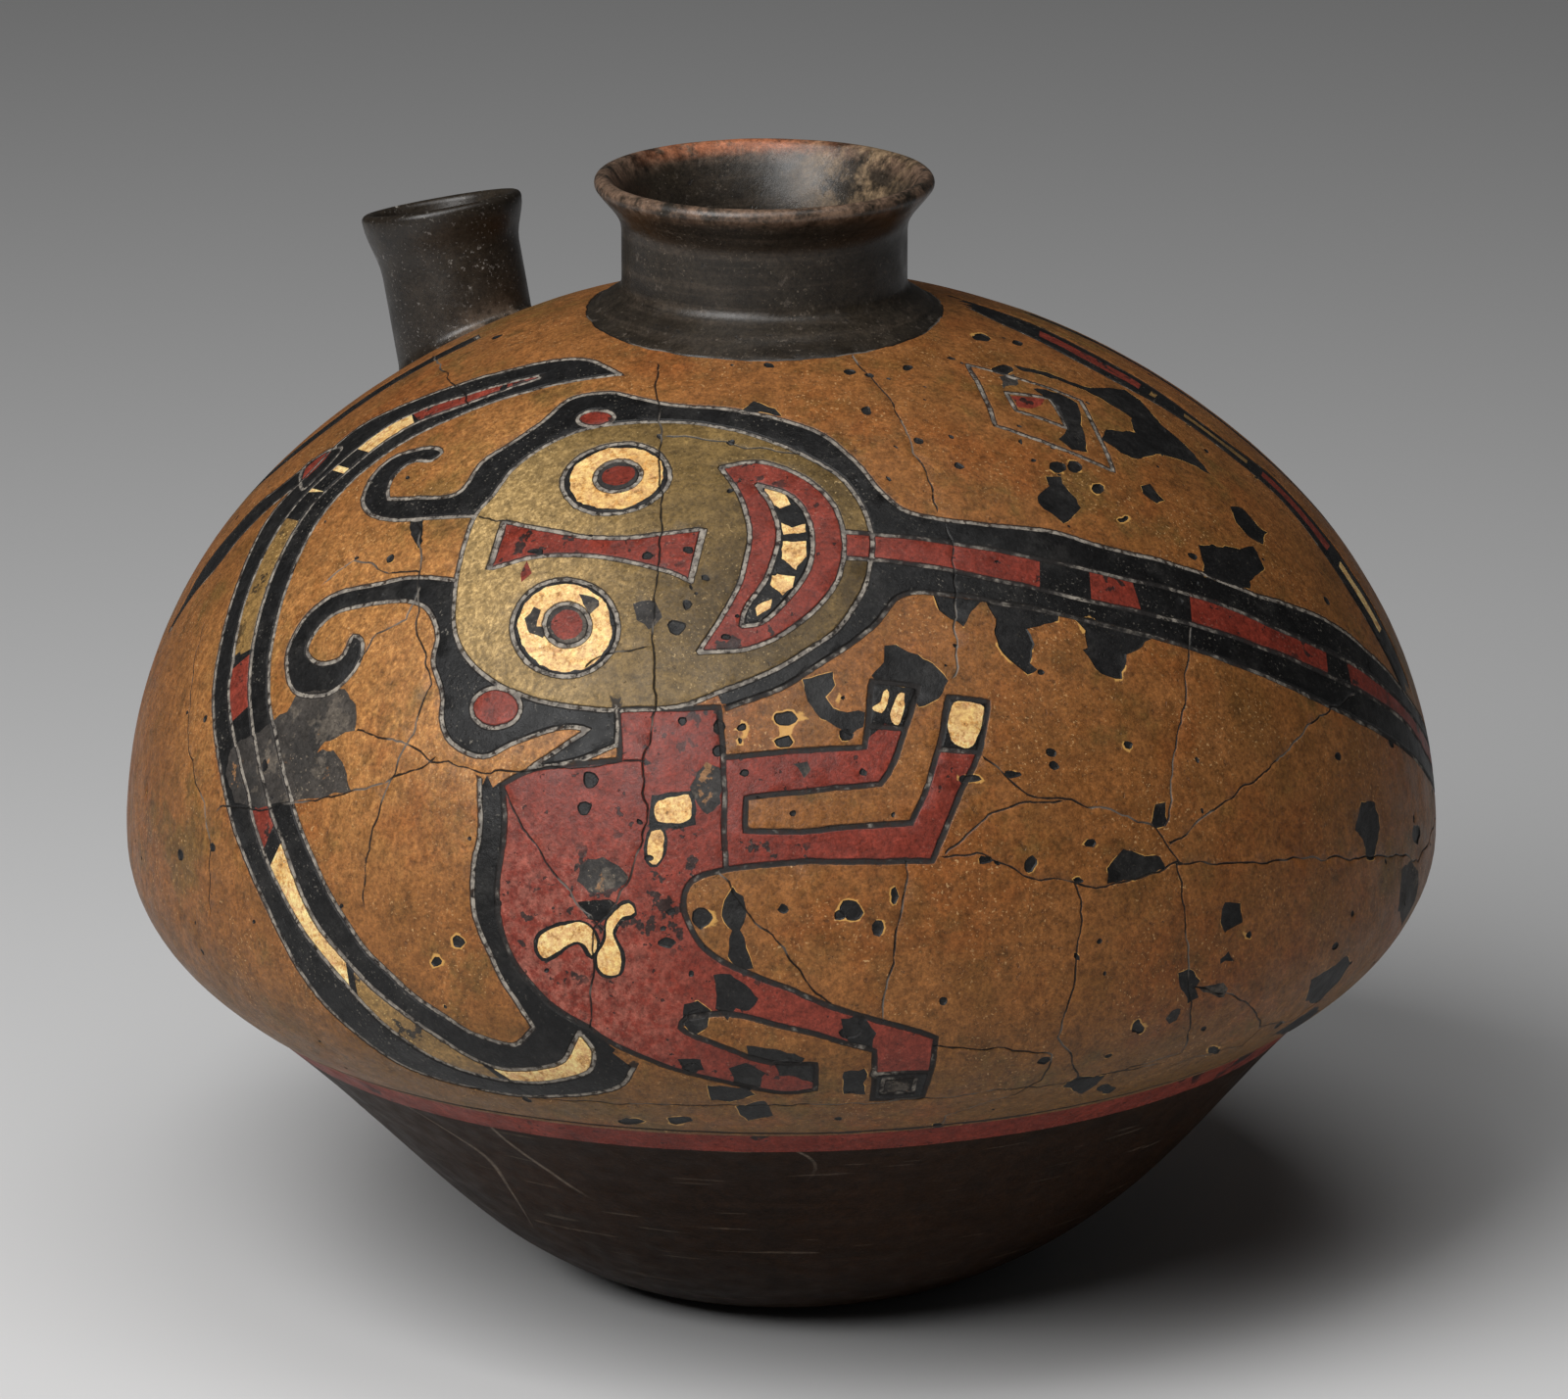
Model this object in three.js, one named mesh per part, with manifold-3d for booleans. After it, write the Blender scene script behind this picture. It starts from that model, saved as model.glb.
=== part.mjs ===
// A round-bodied pottery jar with an open neck and a side spout, all one fired piece.
// Millimetres, +Z up. The origin is the middle of the flat spot that the jar stands on, and the
// painted front looks along -Y.
import * as THREE from 'three';
import { mergeVertices } from 'three/addons/utils/BufferGeometryUtils.js';
import Module from 'manifold-3d';

// Body: radii, and heights stacked from the flat spot upwards
const bellyRadius = 170;
const baseRadius = 42;
const foldInset = 26.2;
const shoulderInset = 38.5;
const foldHeight = 79.7;
const bellyRise = 38.1;
const shoulderRise = 89.9;
const neckFootRise = 47.9;
const wall = 7;

// Neck: a short straight collar that flares to a rounded lip
const neckRadius = 36.6;
const neckWall = 5;
const neckFootFlare = 7;
const neckFootHeight = 7;
const neckStraight = 13.4;
const rimRise = 12;
const rimFlare = 4.7;
const lipRadius = 2.2;

// Side spout: a small tube that stands on the shoulder behind the left side and leans outwards
const spoutAzimuth = 141.5;
const spoutReach = 104;
const spoutLean = 12.8;
const spoutLength = 36;
const spoutRadius = 18.6;
const spoutWall = 4;
const spoutFillet = 3;
const spoutFlare = 1.1;
const spoutFlareHeight = 13;
const spoutLipRadius = 1.6;
const spoutSink = 3;
const spoutHoleInset = 0.5;

// How far the hand-built body and its neck lean to the left and its bowl to the right, and how
// much the fold climbs to the right, in degrees
const bodyLean = 3;
const neckLean = 5;
const neckLeanHeight = 14;
const bowlLean = 2.6;
const foldTilt = 0.55;

// Directions in which the wall climbs at its stations, in degrees from level, outwards
const climbAtBase = 9;
const climbBelowFold = 41.4;
const climbAboveFold = 32.8;
const climbAtShoulder = 136.2;
const climbAtNeckFoot = 167;
const climbAtNeckFlare = 125;
const climbAtRim = 57;
const upright = 90;

// Share of the distance between two stations that each curve handle takes
const handleShare = 0.35;

// Facets
const jarSides = 56;
const spoutSides = 28;

const foldRadius = bellyRadius - foldInset;
const shoulderRadius = bellyRadius - shoulderInset;
const bellyHeight = foldHeight + bellyRise;
const shoulderHeight = bellyHeight + shoulderRise;
const neckFootZ = shoulderHeight + neckFootRise;
const neckZ = neckFootZ + neckFootHeight;
const flareZ = neckZ + neckStraight;
const lipZ = flareZ + rimRise;
const lipCentreRadius = neckRadius + rimFlare;
const throatRadius = neckRadius - neckWall;

const radians = THREE.MathUtils.degToRad;

// A point of the section: radius, height and the direction of the wall there
function station(radius, height, climb) {
  return { point: new THREE.Vector2(radius, height), climb: radians(climb) };
}

function direction(angle) {
  return new THREE.Vector2(Math.cos(angle), Math.sin(angle));
}

// A smooth curve that leaves one station and reaches the next in their directions
function curveBetween(from, to) {
  const handle = handleShare * from.point.distanceTo(to.point);
  const leaving = from.point.clone().addScaledVector(direction(from.climb), handle);
  const arriving = to.point.clone().addScaledVector(direction(to.climb), -handle);
  return new THREE.CubicBezierCurve(from.point, leaving, arriving, to.point);
}

function pointsAlong(from, to, steps) {
  return curveBetween(from, to).getPoints(steps);
}

// The inside of a curved wall: each point moved inwards, square to the wall
function insideOf(from, to, steps) {
  const curve = curveBetween(from, to);
  const points = [];
  for (let i = 0; i <= steps; i += 1) {
    const tangent = curve.getTangent(i / steps);
    const inwards = new THREE.Vector2(-tangent.y, tangent.x);
    points.push(curve.getPoint(i / steps).addScaledVector(inwards, wall));
  }
  return points;
}

function arc(centre, radius, fromAngle, toAngle, steps) {
  const points = [];
  for (let i = 0; i <= steps; i += 1) {
    const angle = fromAngle + (toAngle - fromAngle) * (i / steps);
    points.push(centre.clone().addScaledVector(direction(angle), radius));
  }
  return points;
}

// Drops a point that repeats the one before it, where two stretches meet
function joined(stretches) {
  const points = stretches.flat();
  const apart = 0.05;
  return points.filter((point, i) => i === 0 || point.distanceTo(points[i - 1]) > apart);
}

// Body stations, from the flat spot to the foot of the neck
const body = [
  [station(baseRadius, 0, climbAtBase), station(foldRadius, foldHeight, climbBelowFold), 9],
  [station(foldRadius, foldHeight, climbAboveFold), station(bellyRadius, bellyHeight, upright), 6],
  [station(bellyRadius, bellyHeight, upright), station(shoulderRadius, shoulderHeight, climbAtShoulder), 8],
  [
    station(shoulderRadius, shoulderHeight, climbAtShoulder),
    station(neckRadius + neckFootFlare, neckFootZ, climbAtNeckFoot),
    7,
  ],
];

function bodyOutside() {
  return body.map(([from, to, steps]) => pointsAlong(from, to, steps));
}

function bodyInside() {
  const insideShare = 0.6;
  return body.map(([from, to, steps]) => insideOf(from, to, Math.ceil(steps * insideShare)));
}

// Outside of the neck, the lip, and the inside of the neck down to the cavity
function neckSection() {
  const foot = station(neckRadius + neckFootFlare, neckFootZ, climbAtNeckFlare);
  const collar = station(neckRadius, neckZ, upright);
  const flare = station(neckRadius, flareZ, upright);
  const centre = new THREE.Vector2(lipCentreRadius, lipZ);
  const outerAngle = radians(climbAtRim) - Math.PI / 2;
  const innerAngle = outerAngle + Math.PI;
  const lip = arc(centre, lipRadius, outerAngle, innerAngle, 6);
  const underLip = { point: lip[0], climb: radians(climbAtRim) };
  const overLip = { point: lip[lip.length - 1], climb: radians(climbAtRim) + Math.PI };
  const throat = station(throatRadius, neckZ + neckStraight / 2, -upright);
  const throatFoot = station(throatRadius, neckFootZ, -upright);
  return [
    pointsAlong(foot, collar, 4),
    pointsAlong(flare, underLip, 3),
    lip,
    pointsAlong(overLip, throat, 4),
    [throatFoot.point],
  ];
}

// Sideways lean of the jar's middle at a height
function leanAt(z) {
  const along = THREE.MathUtils.clamp(z / neckFootZ, 0, 1);
  const alongBowl = THREE.MathUtils.clamp(z / foldHeight, 0, 1);
  const neckShare = THREE.MathUtils.smoothstep(z, neckFootZ - neckLeanHeight, neckFootZ);
  const toTheLeft = bodyLean * along * along + (neckLean - bodyLean) * neckShare;
  return bowlLean * Math.sin(Math.PI * alongBowl) - toTheLeft;
}

// How far a point is lifted by the tilt of the fold, which fades out towards the spot and the belly
function liftAt(x, z) {
  const below = THREE.MathUtils.smoothstep(z, 0, foldHeight);
  const above = THREE.MathUtils.smoothstep(z, foldHeight, shoulderHeight);
  return x * Math.tan(radians(foldTilt)) * below * (1 - above);
}

// A lathe of the section, turned from the lathe's own upright to +Z
function turned(points, sides) {
  const geometry = new THREE.LatheGeometry(points, sides);
  geometry.rotateX(Math.PI / 2);
  geometry.deleteAttribute('normal');
  geometry.deleteAttribute('uv');
  return mergeVertices(geometry);
}

function eachPoint(geometry, change) {
  const positions = geometry.attributes.position;
  const point = new THREE.Vector3();
  for (let i = 0; i < positions.count; i += 1) {
    change(point.fromBufferAttribute(positions, i));
    positions.setXYZ(i, point.x, point.y, point.z);
  }
  return geometry;
}

function shellGeometry() {
  const inside = joined(bodyInside()).reverse();
  const section = [
    new THREE.Vector2(0, 0),
    ...joined([...bodyOutside(), ...neckSection()]),
    ...inside,
    new THREE.Vector2(0, wall),
  ];
  return eachPoint(turned(section, jarSides), (point) => {
    const lift = liftAt(point.x, point.z);
    point.x += leanAt(point.z);
    point.z += lift;
  });
}

// Height of the body's outside at a distance from its middle, above the belly
const shoulderLine = joined(bodyOutside().slice(2));
function shoulderHeightAt(distance) {
  for (let i = 1; i < shoulderLine.length; i += 1) {
    const above = shoulderLine[i];
    const below = shoulderLine[i - 1];
    if (above.x <= distance) {
      const share = THREE.MathUtils.clamp((below.x - distance) / (below.x - above.x), 0, 1);
      return THREE.MathUtils.lerp(below.y, above.y, share);
    }
  }
  return neckFootZ;
}

// The spout's own frame: its origin on the shoulder, its z axis along the leaning tube
function spoutFrame() {
  const azimuth = radians(spoutAzimuth);
  const footZ = shoulderHeightAt(spoutReach);
  const turn = new THREE.Matrix4().makeRotationZ(azimuth);
  const lean = new THREE.Matrix4().makeRotationY(radians(spoutLean));
  const footX = leanAt(footZ) + spoutReach * Math.cos(azimuth);
  const place = new THREE.Matrix4().makeTranslation(footX, spoutReach * Math.sin(azimuth), footZ);
  return place.multiply(turn).multiply(lean);
}

// How far along the tube's direction a wall point lies from the shoulder's surface
function distanceToShoulder(x, y, frame) {
  const point = new THREE.Vector3();
  let along = 0;
  const tries = 12;
  for (let i = 0; i < tries; i += 1) {
    point.set(x, y, along).applyMatrix4(frame);
    const distance = Math.hypot(point.x - leanAt(point.z), point.y);
    along += shoulderHeightAt(distance) - point.z;
  }
  return along;
}

function spoutSection() {
  const footRadius = spoutRadius + spoutFillet;
  const boreRadius = spoutRadius - spoutWall;
  const centre = new THREE.Vector2(spoutRadius + spoutFlare, spoutLength);
  const start = new THREE.Vector2(boreRadius, -spoutSink);
  const flareStart = spoutLength - spoutFlareHeight;
  const tube = station(spoutRadius, flareStart, upright);
  const lip = arc(centre, spoutLipRadius, 0, Math.PI, 5);
  const underLip = { point: lip[0], climb: radians(upright) };
  const overLip = { point: lip[lip.length - 1], climb: radians(-upright) };
  const bore = station(boreRadius, flareStart, -upright);
  return joined([
    [start, new THREE.Vector2(footRadius, -spoutSink)],
    arc(new THREE.Vector2(footRadius, spoutFillet), spoutFillet, -Math.PI / 2, -Math.PI, 4),
    pointsAlong(tube, underLip, 4),
    lip,
    pointsAlong(overLip, bore, 3),
    [start.clone()],
  ]);
}

// The tube's foot follows the shoulder all round, and its rim is square to its axis
function spoutGeometry(frame) {
  return eachPoint(turned(spoutSection(), spoutSides), (point) => {
    const share = THREE.MathUtils.clamp(1 - point.z / spoutLength, 0, 1);
    point.z += share * distanceToShoulder(point.x, point.y, frame);
    point.applyMatrix4(frame);
  });
}

// The hole through the shoulder under the spout
function spoutHoleGeometry(frame) {
  const radius = spoutRadius - spoutWall - spoutHoleInset;
  const depth = spoutSink + wall * 2 + spoutRadius / 2;
  const top = spoutLength / 3;
  const section = [
    new THREE.Vector2(0, -depth),
    new THREE.Vector2(radius, -depth),
    new THREE.Vector2(radius, top),
    new THREE.Vector2(0, top),
  ];
  return turned(section, spoutSides).applyMatrix4(frame);
}

const wasm = await Module();
wasm.setup();

function solidOf(geometry) {
  const index = geometry.index.array;
  const triangles = [];
  for (let i = 0; i < index.length; i += 3) {
    const [a, b, c] = [index[i], index[i + 1], index[i + 2]];
    if (a !== b && b !== c && c !== a) {
      triangles.push(a, b, c);
    }
  }
  return new wasm.Manifold(new wasm.Mesh({
    numProp: 3,
    vertProperties: new Float32Array(geometry.attributes.position.array),
    triVerts: new Uint32Array(triangles),
  }));
}

function geometryOf(solid) {
  const mesh = solid.getMesh();
  const geometry = new THREE.BufferGeometry();
  geometry.setAttribute('position', new THREE.BufferAttribute(new Float32Array(mesh.vertProperties), 3));
  geometry.setIndex(new THREE.BufferAttribute(new Uint32Array(mesh.triVerts), 1));
  geometry.computeVertexNormals();
  return geometry;
}

function jarMesh() {
  const frame = spoutFrame();
  const shell = solidOf(shellGeometry());
  const spout = solidOf(spoutGeometry(frame));
  const hole = solidOf(spoutHoleGeometry(frame));
  const fired = shell.add(spout).subtract(hole);
  const clay = new THREE.MeshStandardMaterial({ color: 0x9a5f2c, roughness: 0.5, metalness: 0 });
  const mesh = new THREE.Mesh(geometryOf(fired), clay);
  mesh.name = 'jar';
  return mesh;
}

const jar = new THREE.Group();
jar.add(jarMesh());

export default jar;
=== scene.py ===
"""Looks of the round-bodied painted jar: one closed clay mesh with incised lines, painted areas,
cracks and losses of the slip, its materials, a plain floor, soft light and a camera."""
import math

import bmesh
import bpy
import numpy as np
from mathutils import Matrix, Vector, noise
from mathutils.geometry import delaunay_2d_cdt
from mathutils.kdtree import KDTree


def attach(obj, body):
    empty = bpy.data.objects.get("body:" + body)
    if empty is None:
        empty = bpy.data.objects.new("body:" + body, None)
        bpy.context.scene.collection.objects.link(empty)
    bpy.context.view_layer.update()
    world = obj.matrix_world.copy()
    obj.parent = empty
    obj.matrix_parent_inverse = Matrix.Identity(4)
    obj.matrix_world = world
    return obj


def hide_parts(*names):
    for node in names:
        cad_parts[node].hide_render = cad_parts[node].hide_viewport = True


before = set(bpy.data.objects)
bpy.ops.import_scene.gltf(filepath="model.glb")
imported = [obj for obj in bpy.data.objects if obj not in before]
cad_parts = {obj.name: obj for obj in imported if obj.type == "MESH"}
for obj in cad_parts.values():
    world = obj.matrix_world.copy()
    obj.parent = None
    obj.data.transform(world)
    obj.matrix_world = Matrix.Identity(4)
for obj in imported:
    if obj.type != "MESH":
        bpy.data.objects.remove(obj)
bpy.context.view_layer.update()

MM = 0.001

# Sizes of the jar in millimetres
BELLY_RADIUS = 170.0
BASE_RADIUS = 42.0
FOLD_RADIUS = 143.8
SHOULDER_RADIUS = 131.5
FOLD_Z = 79.7
BELLY_Z = 117.8
SHOULDER_Z = 207.7
NECK_FOOT_Z = 255.6
WALL = 7.0
NECK_RADIUS = 36.6
NECK_WALL = 5.0
NECK_FOOT_RADIUS = 43.6
NECK_Z = 262.6
FLARE_Z = 276.0
LIP_Z = 288.0
LIP_CENTRE_RADIUS = 41.3
LIP_RADIUS = 2.2
THROAT_RADIUS = NECK_RADIUS - NECK_WALL
SPOUT_AZIMUTH = 141.5
SPOUT_REACH = 104.0
SPOUT_LEAN = 12.8
SPOUT_LENGTH = 36.0
SPOUT_RADIUS = 18.6
SPOUT_WALL = 4.0
SPOUT_FILLET = 3.0
SPOUT_FLARE = 1.1
SPOUT_FLARE_HEIGHT = 13.0
SPOUT_LIP_RADIUS = 1.6
BODY_LEAN = 3.0
NECK_LEAN = 5.0
NECK_LEAN_HEIGHT = 14.0
BOWL_LEAN = 2.6
FOLD_TILT = 0.55

# Directions of the wall at its stations, in degrees from level, outwards
CLIMB_BASE = 9.0
CLIMB_BELOW_FOLD = 41.4
CLIMB_ABOVE_FOLD = 32.8
CLIMB_SHOULDER = 136.2
CLIMB_NECK_FOOT = 167.0
CLIMB_NECK_FLARE = 125.0
CLIMB_RIM = 57.0
UPRIGHT = 90.0

# Camera as the photo was taken: far off and a little from above, in millimetres and degrees
PHOTO_WIDTH = 1600
PHOTO_HEIGHT = 1428
SENSOR = 36.0
LENS = 212.6
CAMERA_DISTANCE = 2400.0
CAMERA_ANGLE = 16.45
CAMERA_LEVEL = 130.0
AIM_Z = 150.4
camera_spot = Vector((0, -CAMERA_DISTANCE * math.cos(math.radians(CAMERA_ANGLE)),
                      CAMERA_LEVEL + CAMERA_DISTANCE * math.sin(math.radians(CAMERA_ANGLE))))
camera_turn = (Vector((0, 0, AIM_Z)) - camera_spot).to_track_quat("-Z", "Y")

# Numbers of points in the rings where two areas of the mesh meet, and of steps in curves
NECK_RING = 160
FOLD_RING = 320
SPOUT_RING = 72
SECTION_STEPS = 500
BOWL_CURVE_STEPS = 600
SPLINE_STEPS = 24
OVAL_POINTS = 24

# Spacing of the mesh's points, in millimetres, half the angle of the finely made front, and how far
# the rows of points stay from the wall's ends
FRONT_GAP = 3.4
BACK_GAP = 5.0
PATH_GAP = 1.7
FINE_GAP = 1.0
INNER_GAP = 9.0
FRONT_SPAN = 112.0
FRONT_MARGIN = 2.4
FOLD_MARGIN = 2.2
BACK_MARGIN = 3.0
INNER_MARGIN = 8.0

# Points closer than this, in metres, become one, edges sharper than this, in degrees, stay sharp,
# and lengths on the map count as no smaller than this
SAME_POINT = 1e-6
SHARP_FROM = 28
NEVER_ZERO = 1e-9

# Incised lines: half widths of the floor and of the whole groove, and its depth
GROOVE_FLOOR = 0.45
GROOVE_HALF = 0.95
GROOVE_DEPTH = 0.3

# Cracks, and losses of the slip with their sloping step
CRACK_HALF = 0.42
CRACK_DEPTH = 0.3
FLAKE_STEP = 0.4
FLAKE_DEPTH = 0.3

# How far lines and edges wander, and over what lengths. Where an edge has waves and a grain, the
# grain's wander is a share of the waves'
HAND_WOBBLE = 0.35
HAND_WOBBLE_SIZE = 9.0
HAND_SEED = 3
PAINT_WAVE = 4.5
PAINT_GRAIN = 1.5
PAINT_GRAIN_SHARE = 0.6
FLAKE_WAVE = 3.5
FLAKE_GRAIN = 1.4
FLAKE_GRAIN_SHARE = 0.5
CUT_WOBBLE = 0.16
CUT_GRAIN = 1.6
CRACK_STEP = 1.5
CRACK_WAVE = 5.0
CRACK_WOBBLE = 0.25
CRACK_GRAIN = 1.3


def smoothstep(value, low, high):
    """Nothing below low, one above high, and an even rise between them."""
    t = np.clip((np.asarray(value, float) - low) / (high - low), 0, 1)
    return t * t * (3 - 2 * t)


# Section of the jar

def direction(degrees):
    return np.array([math.cos(math.radians(degrees)), math.sin(math.radians(degrees))])


def bezier(start, climb_start, end, climb_end, steps, share=0.35):
    """A curve between two points that leaves and arrives in the given directions, in degrees."""
    start, end = np.array(start, float), np.array(end, float)
    handle = share * np.hypot(*(end - start))
    leaving = start + handle * direction(climb_start)
    arriving = end - handle * direction(climb_end)
    t = np.linspace(0, 1, steps + 1)[:, None]
    return ((1 - t) ** 3 * start + 3 * (1 - t) ** 2 * t * leaving
            + 3 * (1 - t) * t * t * arriving + t ** 3 * end)


def inward(line):
    """The unit direction into the clay for a line that runs from the neck outwards and down."""
    tangent = np.gradient(line, axis=0)
    tangent /= np.hypot(tangent[:, 0], tangent[:, 1])[:, None]
    return np.stack([tangent[:, 1], -tangent[:, 0]], axis=1)


wall_line = np.vstack([
    bezier((FOLD_RADIUS, FOLD_Z), CLIMB_ABOVE_FOLD, (BELLY_RADIUS, BELLY_Z), UPRIGHT, SECTION_STEPS),
    bezier((BELLY_RADIUS, BELLY_Z), UPRIGHT, (SHOULDER_RADIUS, SHOULDER_Z), CLIMB_SHOULDER,
           SECTION_STEPS)[1:],
    bezier((SHOULDER_RADIUS, SHOULDER_Z), CLIMB_SHOULDER, (NECK_FOOT_RADIUS, NECK_FOOT_Z),
           CLIMB_NECK_FOOT, SECTION_STEPS)[1:],
])[::-1]
wall_steps = np.hypot(*np.diff(wall_line, axis=0).T)
wall_drop = np.concatenate([[0], np.cumsum(wall_steps)])
mean_radius = (wall_line[1:, 0] + wall_line[:-1, 0]) / 2
wall_rho = np.exp(np.concatenate([[0], np.cumsum(wall_steps / mean_radius)]))
inner_line = wall_line + WALL * inward(wall_line)
WALL_LENGTH = wall_drop[-1]


def lean_at(z):
    """How far the jar's middle lies to the right at a height."""
    along = np.clip(z / NECK_FOOT_Z, 0, 1)
    bowl = np.clip(z / FOLD_Z, 0, 1)
    neck = smoothstep(z, NECK_FOOT_Z - NECK_LEAN_HEIGHT, NECK_FOOT_Z)
    return BOWL_LEAN * np.sin(math.pi * bowl) - BODY_LEAN * along ** 2 - (NECK_LEAN - BODY_LEAN) * neck


def lift_at(x, z):
    """How much higher the right side lies than the even shape, most at the fold."""
    fade = smoothstep(z, 0, FOLD_Z) * (1 - smoothstep(z, FOLD_Z, SHOULDER_Z))
    return x * math.tan(math.radians(FOLD_TILT)) * fade


def placed(x, y, z):
    """Points of the turned shape with the lean and the tilt of the hand-built one."""
    return np.stack([x + lean_at(z), y, z + lift_at(x, z)], axis=-1)


# The painted wall as a flat map that keeps angles: complex numbers, the neck foot is the unit
# circle, the fold the outermost one, and the front looks down. `drop` is the distance along the
# wall below the neck foot in millimetres, `turn` the angle from the front to the right in degrees

def on_map(turn, drop):
    rho = np.interp(drop, wall_drop, wall_rho)
    return rho * np.exp(1j * (np.radians(turn) - math.pi / 2))


def off_map(points):
    drop = np.interp(np.abs(points), wall_rho, wall_drop)
    return np.degrees(np.angle(points * 1j)), drop


def size_on_map(points):
    """Millimetres to one unit of the map."""
    rho = np.clip(np.abs(points), 1, wall_rho[-1])
    return np.interp(rho, wall_rho, wall_line[:, 0]) / rho


def wall_points(points, line=wall_line):
    turn, drop = off_map(points)
    radius = np.interp(drop, wall_drop, line[:, 0])
    z = np.interp(drop, wall_drop, line[:, 1])
    angle = np.radians(turn)
    return placed(radius * np.sin(angle), -radius * np.cos(angle), z)


RAY_START = -190.0
RAY_END = 60.0
RAY_STEP = 0.5


def seen(*pixels):
    """Places on the wall, as (turn, drop), that the camera sees at pixels of the photo."""
    pixels = np.array(pixels, float)
    rays = np.stack([pixels[:, 0] - PHOTO_WIDTH / 2, PHOTO_HEIGHT / 2 - pixels[:, 1],
                     np.full(len(pixels), -LENS / SENSOR * PHOTO_WIDTH)], axis=1)
    rays = rays @ np.array(camera_turn.to_matrix()).T
    rays /= np.linalg.norm(rays, axis=1)[:, None]
    far = CAMERA_DISTANCE + np.arange(RAY_START, RAY_END, RAY_STEP)
    spots = np.array(camera_spot) + far[None, :, None] * rays[:, None, :]
    x, y = spots[..., 0], spots[..., 1]
    z = spots[..., 2] - lift_at(x, spots[..., 2])
    x = x - lean_at(z)
    outside = np.hypot(x, y) - np.interp(z, wall_line[::-1, 1], wall_line[::-1, 0])
    hit = (outside < 0).any(axis=1)
    last = np.where(hit, (outside < 0).argmax(axis=1), np.maximum(outside.argmin(axis=1), 1))
    row = np.arange(len(pixels))
    before, after = outside[row, last - 1], outside[row, last]
    share = np.where(hit, before / np.where(hit, before - after, 1), 1)

    def part_way(values):
        return values[row, last - 1] * (1 - share) + values[row, last] * share

    turn = np.degrees(np.arctan2(part_way(x), -part_way(y)))
    drop = np.interp(part_way(z), wall_line[::-1, 1], wall_drop[::-1])
    return list(zip(turn, drop))


# Paths and shapes on the map

OTHER_WAY = Vector((31.7, 12.9, 5.3))


def rough(path, amount, size, seed):
    """Moves the points of a path a little, as a hand or a worn edge does."""
    offset = Vector((seed * 7.31, seed * 1.7, 0))
    places = [Vector(p / size) + offset for p in wall_points(path)]
    shift = np.array([complex(noise.noise(p), noise.noise(p + OTHER_WAY)) for p in places])
    return path + amount * shift / size_on_map(path)


def resampled(dense, gap, closed):
    """The path with points at even distances of about a gap in millimetres."""
    line = np.append(dense, dense[0]) if closed else dense
    middle = (line[1:] + line[:-1]) / 2
    length = np.concatenate([[0], np.cumsum(np.abs(np.diff(line)) * size_on_map(middle))])
    count = max(4 if closed else 1, int(round(length[-1] / gap)))
    at = np.linspace(0, length[-1], count + 1)
    if closed:
        at = at[:-1]
    return np.interp(at, length, line.real) + 1j * np.interp(at, length, line.imag)


def smooth(places, closed=False, gap=PATH_GAP):
    """A smooth path through (turn, drop) places."""
    corner = on_map(*np.array(places, float).T)
    count = len(corner)
    if closed:
        before, after, later = np.roll(corner, 1), np.roll(corner, -1), np.roll(corner, -2)
    else:
        before = np.concatenate([[2 * corner[0] - corner[1]], corner[:-1]])
        after = np.concatenate([corner[1:], [2 * corner[-1] - corner[-2]]])
        later = np.concatenate([after[1:], [2 * after[-1] - corner[-1]]])
    pieces = []
    for i in range(count if closed else count - 1):
        p0, p1, p2, p3 = before[i], corner[i], after[i], later[i]
        d0 = max(abs(p1 - p0), NEVER_ZERO) ** 0.5
        d1 = max(abs(p2 - p1), NEVER_ZERO) ** 0.5
        d2 = max(abs(p3 - p2), NEVER_ZERO) ** 0.5
        m1 = ((p1 - p0) / d0 - (p2 - p0) / (d0 + d1) + (p2 - p1) / d1) * d1
        m2 = ((p2 - p1) / d1 - (p3 - p1) / (d1 + d2) + (p3 - p2) / d2) * d1
        t = np.linspace(0, 1, SPLINE_STEPS + 1)[:-1]
        pieces.append((2 * t ** 3 - 3 * t ** 2 + 1) * p1 + (t ** 3 - 2 * t ** 2 + t) * m1
                      + (3 * t ** 2 - 2 * t ** 3) * p2 + (t ** 3 - t ** 2) * m2)
    dense = np.concatenate(pieces)
    if not closed:
        dense = np.append(dense, corner[-1])
    return resampled(dense, gap, closed)


def straight(places, closed=False, gap=PATH_GAP):
    """A path with sharp corners at the (turn, drop) places."""
    corner = list(on_map(*np.array(places, float).T))
    ends = corner[1:] + corner[:1] if closed else corner[1:]
    pieces = []
    for start, end in zip(corner, ends):
        length = abs(end - start) * size_on_map(np.array((start + end) / 2))
        steps = max(1, int(round(float(length) / gap)))
        pieces.append(start + (end - start) * np.arange(steps) / steps)
    path = np.concatenate(pieces)
    return path if closed else np.append(path, corner[-1])


def hand(path):
    """The small wander of a line drawn by hand, the same for all lines at one place."""
    return rough(path, HAND_WOBBLE, HAND_WOBBLE_SIZE, HAND_SEED)


def drawn(*curves):
    """One path of smooth curves with corners between them."""
    paths = [smooth(curve) for curve in curves]
    return hand(np.concatenate([path[:-1] for path in paths] + [paths[-1][-1:]]))


def beside(path, distance, closed=False):
    """The path moved to its left by a distance in millimetres."""
    if closed:
        tangent = np.roll(path, -1) - np.roll(path, 1)
    else:
        tangent = np.gradient(path)
    tangent = tangent / np.maximum(np.abs(tangent), NEVER_ZERO)
    return path + 1j * tangent * distance / size_on_map(path)


def grown(outline, distance):
    """A closed outline moved outwards by a distance in millimetres."""
    anticlockwise = (outline.conj() * np.roll(outline, -1)).imag.sum()
    return beside(outline, -math.copysign(distance, anticlockwise), True)


def between(left, right):
    """The closed outline of the band between two paths that run the same way."""
    return np.concatenate([left, right[::-1]])


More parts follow.
